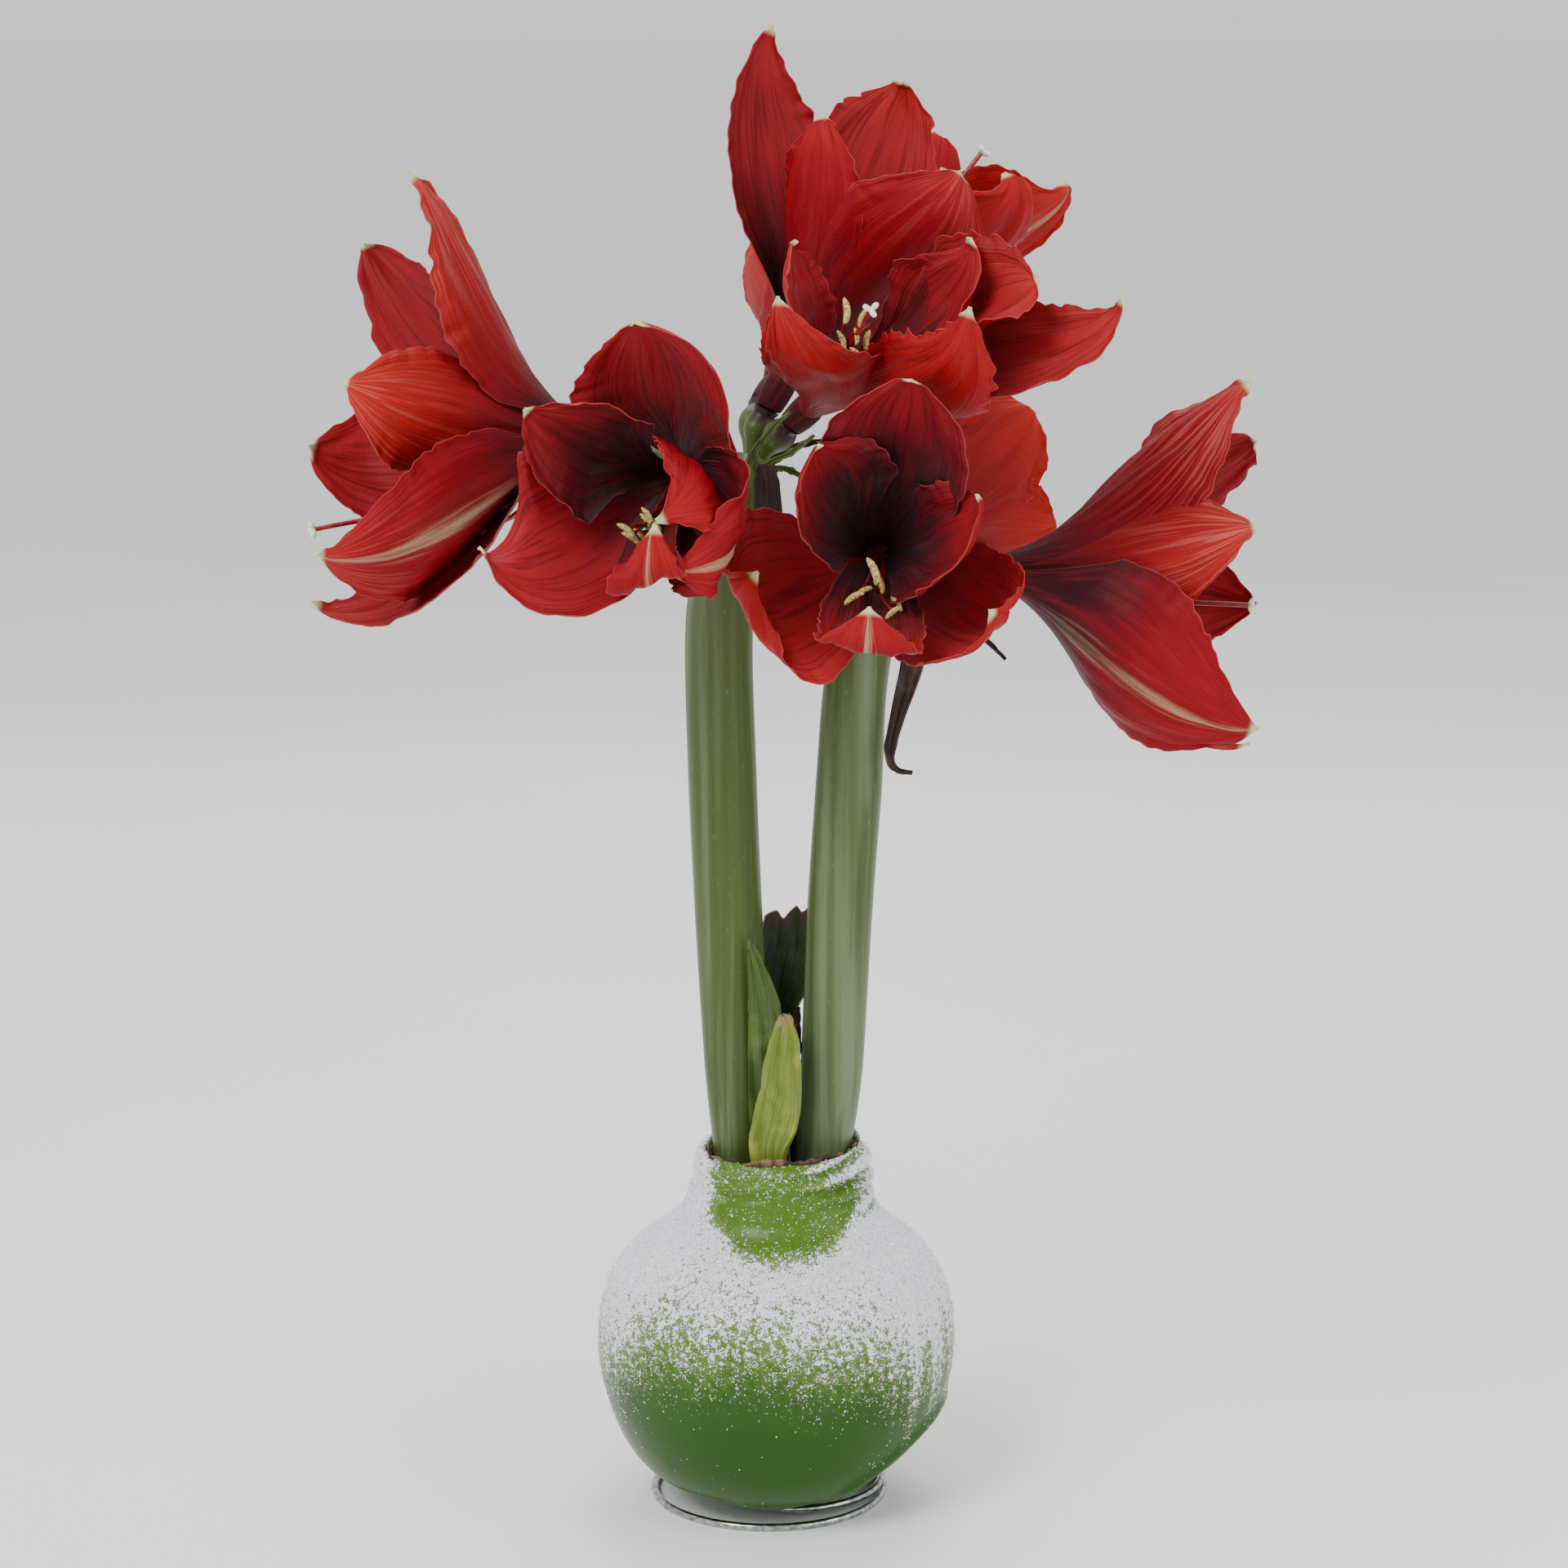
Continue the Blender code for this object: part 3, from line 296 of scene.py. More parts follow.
grainyLook = {  # roughness, metal, two near tones, grains a metre, and the grains' depth in mm and strength
    # pollen clings to the anthers in dry mealy crumbs
    "pollen": (0.85, 0.0, "#85702C", "#D6C378", (1500, 1500, 1500), 0.5, 1.0),
    # a stigma is moist, fine-haired and white
    "stigma": (0.4, 0.0, "#D8D0CE", "#F0EEEC", (900, 900, 900), 0.1, 0.4),
    # filaments are smooth, wet-looking rods
    "filament": (0.32, 0.0, "#6E0C12", "#9E2228", (400, 400, 200), 0.1, 0.4),
    # tunic: the dry brown skin of a bulb, crinkled like paper
    "tunicPaper": (0.7, 0.0, "#2C1710", "#806044", (260, 260, 90), 0.6, 0.7),
    # stainless wire drawn through a die: bright, with fine lines along it
    "drawnWire": (0.2, 1.0, "#858687", "#C2C4C6", (500, 500, 900), 0.05, 0.2),
    # flock: single white fibres, and mica glitter that mirrors the light
    "flockFibre": (0.75, 0.0, "#DDE0EA", "#F4F5FB", (900, 900, 900), 0.1, 0.3),
    "micaGlitter": (0.12, 0.5, "#E4E8F2", "#FFFFFF", (600, 600, 600), 0.05, 0.2),
    # the studio floor is matt paint, almost white
    "paintedFloor": (0.9, 0.0, "#F3F3F3", "#F7F7F7", (3, 3, 3), 0.1, 0.1),
}


def makeGrainy(name):
    rough, metal, low, high, grains, depth, strength = grainyLook[name]
    skin, tree, shader, solid = newMaterial(name, {"Roughness": rough, "Metallic": metal})
    spots = drawnGrain(tree, solid, grains, 4.0)
    colour = paintOver(tree, low, [(spots, 0.35, 0.65, 1.0, high)])
    finishSkin(tree, shader, colour, [(spots, strength, depth)])
    return skin


petalOutside, petalInside = makePetalSkin("petalOutside"), makePetalSkin("petalInside")
stemSkin = makeStemSkin()
greenLeaf, cutLeaf, youngLeaf, dryBract = [makeLeafSkin(name) for name in leafLook]
waxSkin = makeWaxSkin()
(pollen, stigmaSkin, filamentSkin, tunicSkin,
 wireSteel, fibre, glitter, paintedFloor) = [makeGrainy(name) for name in grainyLook]
print("materials made")


# Stage: the camera where the photograph was taken, soft studio light and a pale floor

stage = {
    "cameraPlace": (0.0, -1200.0, 460.0), "cameraDown": 10.9, "lens": 91.5, "sky": 0.95,
    "lights": [((-700, -1000, 1300), 700, 21.0), ((1000, -600, 700), 900, 5.0),
               ((100, 900, 1300), 900, 10.0)],  # the place, the size in mm and the power in watts
    "aim": (0, 0, 250), "floor": 160.0,  # the floor is in metres
}
bpy.ops.object.camera_add(location=world(stage["cameraPlace"]),
                          rotation=(math.radians(90 - stage["cameraDown"]), 0, 0))
camera = bpy.context.object
camera.data.lens = stage["lens"]
camera.data.clip_end = 300
bpy.context.scene.camera = camera
sky = bpy.data.worlds.new("studioSky")
sky.use_nodes = True
sky.node_tree.nodes["Background"].inputs["Color"].default_value = (1, 1, 1, 1)
sky.node_tree.nodes["Background"].inputs["Strength"].default_value = stage["sky"]
bpy.context.scene.world = sky
for place, size, power in stage["lights"]:
    bpy.ops.object.light_add(type="AREA", location=world(place))
    lamp = bpy.context.object
    lamp.data.size, lamp.data.energy = size * mm, power
    aim = Vector(world(stage["aim"])) - lamp.location
    lamp.rotation_euler = aim.to_track_quat("-Z", "Y").to_euler()
bpy.ops.mesh.primitive_plane_add(size=stage["floor"])
floor = bpy.context.object
floor.name = "studioFloor"
floor.data.materials.append(paintedFloor)
print("stage set")


# Shared ways of making a piece


def deselect():
    bpy.ops.object.select_all(action="DESELECT")


def selectOnly(pieces):
    deselect()
    for piece in pieces:
        piece.select_set(True)
    bpy.context.view_layer.objects.active = pieces[0]


def points(piece):
    flat = np.empty(len(piece.data.vertices) * 3, dtype=np.float32)
    piece.data.vertices.foreach_get("co", flat)
    return flat.reshape(-1, 3).astype(float)


def setPoints(piece, places):
    piece.data.vertices.foreach_set("co", np.asarray(places, dtype=np.float32).ravel())
    piece.data.update()


def setValues(piece, name, values):
    layer = piece.data.attributes.new(name, "FLOAT", "POINT")
    count = len(piece.data.vertices)
    layer.data.foreach_set("value", np.broadcast_to(np.asarray(values, dtype=np.float32), count))


def named(name):  # the piece that the last step made
    piece = bpy.context.object
    piece.name = piece.data.name = name
    return piece


def addGrid(name, columns, rows):  # a flat grid, with its places as u from -1 to 1 and v from 0 to 1
    deselect()
    bpy.ops.mesh.primitive_grid_add(x_subdivisions=columns, y_subdivisions=rows, size=2)
    piece = named(name)
    places = points(piece)
    return piece, places[:, 0], (places[:, 1] + 1) / 2


def addBall(name, segments, rings):  # a sphere, with its places as an angle and v from 0 below to 1 above
    deselect()
    bpy.ops.mesh.primitive_uv_sphere_add(segments=segments, ring_count=rings, radius=1)
    piece = named(name)
    places = points(piece)
    v = np.arccos(np.clip(-places[:, 2], -1, 1)) / math.pi
    return piece, np.arctan2(places[:, 1], places[:, 0]), v


def dress(piece, sharpAngle, *skins):  # its materials, and smooth shading but where it turns more sharply
    for skin in skins:
        piece.data.materials.append(skin)
    selectOnly([piece])
    bpy.ops.object.shade_smooth_by_angle(angle=math.radians(sharpAngle))


def joinAll(name, pieces):
    selectOnly(pieces)
    if len(pieces) > 1:
        bpy.ops.object.join()
    return named(name)


def hand(piece, node):
    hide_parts(node)
    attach(piece, "root")


def thicken(piece, thickness, insideMaterial):
    wall = piece.modifiers.new("thickness", "SOLIDIFY")
    wall.thickness = thickness * mm
    wall.offset = 0
    wall.material_offset = insideMaterial
    if "body" in piece.vertex_groups:
        wall.vertex_group = "body"
        wall.thickness_vertex_group = 0.35  # the share that is left at the margins
    selectOnly([piece])
    bpy.ops.object.modifier_apply(modifier=wall.name)


def tubes(name, routes, smoothness):  # one mesh of round closed rods; a route is its places and radii in mm
    deselect()
    bpy.ops.curve.primitive_bezier_curve_add()
    data = bpy.context.object.data
    data.splines.clear()
    data.dimensions = "3D"
    data.bevel_depth = mm
    data.bevel_resolution = smoothness
    data.use_fill_caps = True
    for places, radii in routes:
        spline = data.splines.new("POLY")
        spline.points.add(len(places) - 1)
        for point, place, radius in zip(spline.points, world(places), radii):
            point.co = (*place, 1.0)
            point.radius = radius
    bpy.ops.object.convert(target="MESH")
    piece = named(name)
    bpy.ops.object.mode_set(mode="EDIT")
    bpy.ops.mesh.select_all(action="SELECT")
    bpy.ops.mesh.remove_doubles(threshold=0.01 * mm)
    bpy.ops.object.mode_set(mode="OBJECT")
    return piece


def curveThrough(places, count):  # a smooth curve through the places
    places = numbers(places)
    last = len(places) - 1
    padded = np.vstack([places[0] * 2 - places[1], places, places[-1] * 2 - places[-2]])
    share = np.linspace(0, 1, count) * last
    step = np.minimum(share.astype(int), last - 1)
    f = (share - step)[:, None]
    p0, p1, p2, p3 = (padded[step + k] for k in range(4))
    return 0.5 * (2 * p1 + (p2 - p0) * f + (2 * p0 - 5 * p1 + 4 * p2 - p3) * f ** 2
                  + (3 * p1 - p0 - 3 * p2 + p3) * f ** 3)


def followCurve(places, share):  # rows on the smooth curve at each share of it, and its direction there
    curve = curveThrough(places, 400)
    index = share * (len(curve) - 1)
    low = np.minimum(index.astype(int), len(curve) - 2)
    f = (index - low)[:, None]
    return curve[low] * (1 - f) + curve[low + 1] * f, unit((curve[low + 1] - curve[low])[:, :3])


def sweepTube(name, route, columns, rows, relief):  # a closed tube; a row of the route is place, width, depth
    piece, angle, v = addBall(name, columns, rows)
    places, *sizes = [numbers(column) for column in zip(*route)]
    cap = 0.012  # the share of the length at each end that closes the tube
    t = np.clip((v - cap) / (1 - 2 * cap), 0, 1)
    closing = np.minimum(1, np.minimum(v, 1 - v) / cap)
    middleLine, along = followCurve(places, t)
    side = unit(np.array([1.0, 0, 0]) - along * along[:, :1])
    knots = np.linspace(0, 1, len(places))
    wide, deep = [(np.interp(t, knots, size) + relief(angle, t)) * closing for size in sizes]
    across, ahead = (np.cos(angle) * wide)[:, None], (np.sin(angle) * deep)[:, None]
    setPoints(piece, world(middleLine + side * across + np.cross(along, side) * ahead))
    return piece, t


# Wire stand: one turn on the floor, over its own start, then inward under the bulb and up its spike

wire = {
    "radius": 1.2, "endTaper": 0.82, "ring": 36.3, "x": -4.8, "y": 3.0, "start": 28.0, "climb": 3.7,
    "spiralTurn": 300.0, "spiralEnd": 5.0, "spikeX": -2.5, "spikeTop": 24.0,
    "bend": [(1.8, 0), (0.7, 0.4), (0.1, 1.1), (0, 2.4)],  # y and rise on the way up into the spike
}


def makeWire():
    start = math.radians(wire["start"])
    share = np.linspace(0, 1, 150)
    angle = start - math.tau * share
    rise = wire["radius"] + (wire["climb"] - wire["radius"]) * smoothStep(0.8, 1.0, share)
    ring = around(angle, wire["ring"], rise, wire["x"], wire["y"])
    share = np.linspace(0, 1, 110)[1:]
    angle = start - math.radians(wire["spiralTurn"]) * share
    radius = wire["ring"] - (wire["ring"] - wire["spiralEnd"]) * smoothStep(0, 1, share)
    x = wire["x"] + (wire["spikeX"] - wire["x"]) * share ** 2
    spiral = around(angle, radius, np.full(len(x), wire["climb"]), x, wire["y"] * (1 - share ** 2))
    bend = [(wire["spikeX"], place, wire["climb"] + step) for place, step in wire["bend"]]
    route = np.vstack([ring, spiral, bend, [(wire["spikeX"], 0, wire["spikeTop"])]])
    radii = np.full(len(route), wire["radius"])
    radii[0] = radii[-1] = wire["radius"] * wire["endTaper"]
    stand = tubes("wireStand", [(route, radii)], 8)
    dress(stand, 40, wireSteel)
    hand(stand, "wire_stand")


makeWire()
print("wire stand made")


# Wax coat: the bulb's outline turned, then pushed in by dents, folds and drips, with flock standing on it

wax = {
    "profile": [(0, 5.2), (12, 5.2), (22, 5.4), (31, 6.8), (39.5, 11), (47, 19.5), (52.6, 31), (55.6, 43),
                (56.2, 53), (54.8, 64), (51, 74), (44.5, 82), (36.5, 88), (30.6, 93.5), (28.2, 99),
                (26.9, 105.5), (26.2, 111), (25.6, 114.2)],
    "lining": [(24.9, 115.2), (24.0, 114.9), (23.4, 113.6), (23.3, 108), (24.4, 100), (27.6, 95),
               (33, 90), (42, 82), (52, 64), (53.6, 53), (50, 31), (40, 15), (22, 8.2), (0, 8.0)],
    "x": -2.5, "neckX": -0.6, "segments": 330, "rings": 236,
    "skinShare": 0.94,  # the share of the rings that is outside; the rest lines the neck
    "lobes": 0.9, "waist": 0.9, "wrinkles": 1.7, "neckRipple": 0.5, "under": 0.6, "flockRelief": 0.55,
    "leftDent": {"depth": 1.6, "height": 30, "reach": 26, "turn": 2.7},
    "rightDent": {"depth": 4.2, "rim": 1.6, "x": 23.7, "height": 14.4, "lean": (0.556, 0.83)},
    "leftFolds": {"rise": 2.8, "x": -21, "width": 4.5, "height": 109.5, "tall": 3.4, "lower": 98.5},
    "rim": {"ragged": 0.9, "tilt": 1.3, "drop": 0.3},
    "ridges": {"top": 115.6, "slant": 0.22, "x": 19, "apart": 6.0},  # on the neck's right side
    "shoulder": {"depth": 0.8, "x": 2, "width": 15, "height": 98, "tall": 9},  # smooth and hollow
    "sag": {"depth": 0.9, "x": -4.8, "wide": 9, "y": -27, "deep": 7},  # a drip beside the wire
}
flock = {
    "lowEdge": 64, "lowerRight": 20, "lowerLeft": 12, "uneven": 4, "below": 26, "above": 32,
    "neckFrom": (92, 97),
    "window": {"left": -22.5, "right": 27, "sill": 88.0, "sillRise": 7.5},  # the bare wax of the neck
    "flakes": 28000, "flakeSize": 0.36, "glitter": 0.12,
}


def bulbMiddle(height):  # the neck leans a little
    return wax["x"] + (wax["neckX"] - wax["x"]) * smoothStep(70, 105, height)


def neckRidges(x, height):  # slanting wrinkles, 1 on a ridge and -1 in a furrow
    ridges = wax["ridges"]
    slant = ridges["slant"] * (x - ridges["x"])
    return np.cos(math.tau * (height - ridges["top"] - slant) / ridges["apart"])


def inFront(angle):  # 1 on the side of the camera, 0 behind
    return smoothStep(0.2, -0.4, np.sin(angle))


def roundShare(angle):  # from 0 to 1 once round the bulb
    return (angle + math.pi) / math.tau


def waxRelief(angle, height, x):  # how far the wax stands out from its turned outline
    front = inFront(angle)
    right = np.maximum(0, np.cos(angle + 0.5)) ** 2
    relief = wax["lobes"] * np.sin(2 * angle + 0.6) * np.sin(math.pi * np.minimum(1, height / 90))
    relief -= wax["waist"] * bell(height, 50, 32)
    dent = wax["leftDent"]
    hollow = np.maximum(0, 1 - np.abs(height - dent["height"]) / dent["reach"])
    relief -= dent["depth"] * hollow * np.maximum(0, np.cos(angle - dent["turn"])) ** 6
    dent = wax["rightDent"]  # it starts at a slanting fold
    beyond = (x - dent["x"]) * dent["lean"][0] - (height - dent["height"]) * dent["lean"][1]
    low = 1 - smoothStep(34, 50, height)
    relief -= dent["depth"] * smoothStep(-1, 9, beyond) * front * low
    relief += dent["rim"] * bell(beyond, 0, 1.8) * front * smoothStep(14, 24, x) * low
    neck = smoothStep(98, 104, height)
    relief += wax["wrinkles"] * neck * right * neckRidges(x, height)
    relief += wax["neckRipple"] * neck * (1 - right) * np.sin(height * 1.3 + 2.4 * np.sin(angle * 2))
    folds = wax["leftFolds"]
    upper = bell(x, folds["x"], folds["width"]) * bell(height, folds["height"], folds["tall"])
    lower = smoothStep(-16.8, -19.6, x) * bell(height, folds["lower"], 5.5)
    relief += folds["rise"] * (upper + lower) * front
    dip = wax["shoulder"]
    hollow = bell(x, dip["x"], dip["width"]) * bell(height, dip["height"], dip["tall"])
    return relief - dip["depth"] * hollow * front


def flockAmount(angle, height, x):  # from 0 bare to 1 thick
    front = inFront(angle)
    right = smoothStep(0.5, 1.0, np.cos(angle))
    left = smoothStep(0.55, 1.0, -np.cos(angle))
    turn = roundShare(angle)
    lowEdge = flock["lowEdge"] - flock["lowerRight"] * right - flock["lowerLeft"] * left
    lowEdge = lowEdge + flock["uneven"] * wobble(turn, 17, 31)
    amount = smoothStep(lowEdge - flock["below"], lowEdge + flock["above"], height)
    amount = amount + 0.3 * right * wobble(turn, 260, 32) * (1 - smoothStep(60, 80, height))
    bare = flock["window"]
    sill = bare["sill"] + bare["sillRise"] * ((x - 1) / 20) ** 4
    window = smoothStep(bare["left"], bare["left"] + 5, x) * smoothStep(bare["right"], bare["right"] - 6, x)
    window = window * front * smoothStep(sill - 5, sill + 4, height)
    caught = 0.12 + 0.34 * smoothStep(4, 15, x) * (1 + neckRidges(x, height))  # on the ridges over the window
    upper = smoothStep(104, 111, height) * caught
    neck = 0.85 + 0.1 * wobble(turn, 23, 33) + 0.25 * right * (neckRidges(x, height) - 0.5)
    onNeck = smoothStep(*flock["neckFrom"], height)
    snow = amount * (1 - onNeck) + neck * onNeck
    return snow * (1 - window) + (0.1 + upper) * window


def makeWax():
    coat, angle, v = addBall("waxCoat", wax["segments"], wax["rings"])
    dense = curveThrough(wax["profile"], 400)
    lining = numbers(wax["lining"])
    outline = np.vstack([dense, lining])
    length = np.concatenate([[0], np.cumsum(np.linalg.norm(np.diff(dense, axis=0), axis=1))])
    skin = wax["skinShare"]
    within = skin + np.linspace(0.02, 1, len(lining)) * (1 - skin)
    share = np.concatenate([length / length[-1] * skin, within])
    radius, height = np.interp(v, share, outline[:, 0]), np.interp(v, share, outline[:, 1])
    outer = 1 - smoothStep(skin, skin + 0.01, v)
    spread = smoothStep(3, 30, radius)
    x = radius * np.cos(angle)
    turn = roundShare(angle)
    amount = np.clip(flockAmount(angle, height, x), 0, 1) * outer * smoothStep(12, 20, height)
    grown = radius + waxRelief(angle, height, x) * spread * outer
    under = bell(height, 6, 3) * outer * smoothStep(10, 35, radius)
    grown = grown + wax["under"] * under * np.sin(3 * angle + 1)
    rim = wax["rim"]
    lip = rim["ragged"] * wobble(turn, 26, 41) + rim["tilt"] * np.cos(angle - 0.3) - rim["drop"]
    tall = height + smoothStep(110, 115, height) * lip + wax["under"] * under * np.sin(angle * 5 + 0.6)
    places = around(angle, grown, tall, bulbMiddle(height))
    sag = wax["sag"]
    drip = bell(places[:, 0], sag["x"], sag["wide"]) * bell(places[:, 1], sag["y"], sag["deep"])
    places[:, 2] -= sag["depth"] * drip * under
    clump = np.array([noise.noise(Vector(p * 0.5)) + 0.6 * noise.noise(Vector(p * 1.3)) for p in places])
    pile = np.clip(amount * 1.2 + clump * 0.7 - 0.35, 0, 1) * outer * spread
    outward = np.stack([np.cos(angle), np.sin(angle), np.full(len(v), 0.35)], axis=1)
    places += outward * (wax["flockRelief"] * pile)[:, None]
    setPoints(coat, world(places))
    setValues(coat, "flock", amount + 1.1 * clump * amount * (1 - amount))
    dress(coat, 180, waxSkin)
    hand(coat, "wax_coat")
    loose = np.clip(amount * (0.7 + clump), 0, 1) ** 0.7 + 0.005
    makeFlakes(places, outward, loose * outer * (height > 8))


def makeFlakes(places, outward, weights):  # loose fibres and glitter, each a tiny three-sided chip
    rng = np.random.default_rng(12)
    count = flock["flakes"]
    chosen = rng.choice(len(places), count, p=weights / weights.sum())
    centres = places[chosen] + rng.normal(0, 0.35, (count, 3)) * (1 - 0.6 * np.abs(unit(outward[chosen])))
    centres += unit(outward[chosen]) * rng.uniform(0.0, 0.35, (count, 1))
    deselect()
    bpy.ops.mesh.primitive_cone_add(vertices=3, radius1=1, depth=1.2)
    chip = bpy.context.object
    corners = points(chip)
    faces = np.array([list(face.vertices) for face in chip.data.polygons])
    bpy.data.objects.remove(chip)
    size = flock["flakeSize"] * rng.uniform(0.45, 1.25, (count, 1, 1)) * rng.uniform(0.35, 1.0, (count, 1, 3))
    turns = rng.normal(0, 1, (count, 3, 3))
    first = unit(turns[:, 0])
    second = unit(np.cross(first, turns[:, 1]))
    frames = np.stack([first, second, np.cross(first, second)], axis=1)
    cloud = centres[:, None, :] + np.einsum("nij,njk->nik", corners[None] * size, frames)
    places = world(cloud.reshape(-1, 3))
    indices = (faces[None] + np.arange(count)[:, None, None] * len(corners)).reshape(-1, 3)
    mesh = bpy.data.meshes.new("flockFlakes")
    mesh.from_pydata(places.tolist(), [], indices.tolist())
    flakes = bpy.data.objects.new("flockFlakes", mesh)
    bpy.context.scene.collection.objects.link(flakes)
    flakes.data.materials.append(fibre)
    flakes.data.materials.append(glitter)
    shiny = np.repeat(rng.random(count) < flock["glitter"], len(faces)).astype(np.int32)
    mesh.polygons.foreach_set("material_index", shiny)
    hand(flakes, "wax_coat")


makeWax()
print("wax coat made")


# Bulb: the body in the wax, and the papery rim of its neck round the feet of the stems

bulbNeck = {
    "outline": [(0, 9), (20, 9), (36, 14), (50, 33), (53.4, 53), (51.5, 64), (42, 80), (29, 92), (25, 99),
                (23.0, 106), (22.9, 112), (23.2, 114.6), (22.7, 115.2), (22.0, 112), (21.4, 107),
                (20.6, 103), (14, 101), (0, 100.6)],
    "ragged": 1.5,
}


def makeBulb():
    body, angle, v = addBall("bulbNeck", 160, 76)
    radius, height = outlineAt(bulbNeck["outline"], v)
    turn = roundShare(angle)
    ragged = 0.5 * teeth(turn, 70, 5) + wobble(turn, 17, 6) + 0.6 * np.cos(angle - 0.3)
    rim = smoothStep(109, 115, height)
    radius = radius + rim * 0.5 * wobble(turn, 33, 7)
    tall = height + rim * ragged * bulbNeck["ragged"]
    crumpled = smoothStep(20, 12, radius) * smoothStep(99, 100, height)
    tall = tall + crumpled * 1.2 * wobble(turn, 23, 8)
    setPoints(body, world(around(angle, radius, tall, bulbMiddle(height))))
    dress(body, 50, tunicSkin)
    hand(body, "bulb")


makeBulb()
print("bulb made")


# Blooms: each has a foot, the place of its stigma, and six tepals in clock order, outer and inner by turns.
# A tepal is its tip, the place it passes at viaShare of its length, its half width, its roll in degrees, and
# what differs from tepalStyle. Each of the six pods is an anther's two ends. Where the anthers hardly show,
# one place stands for them all.

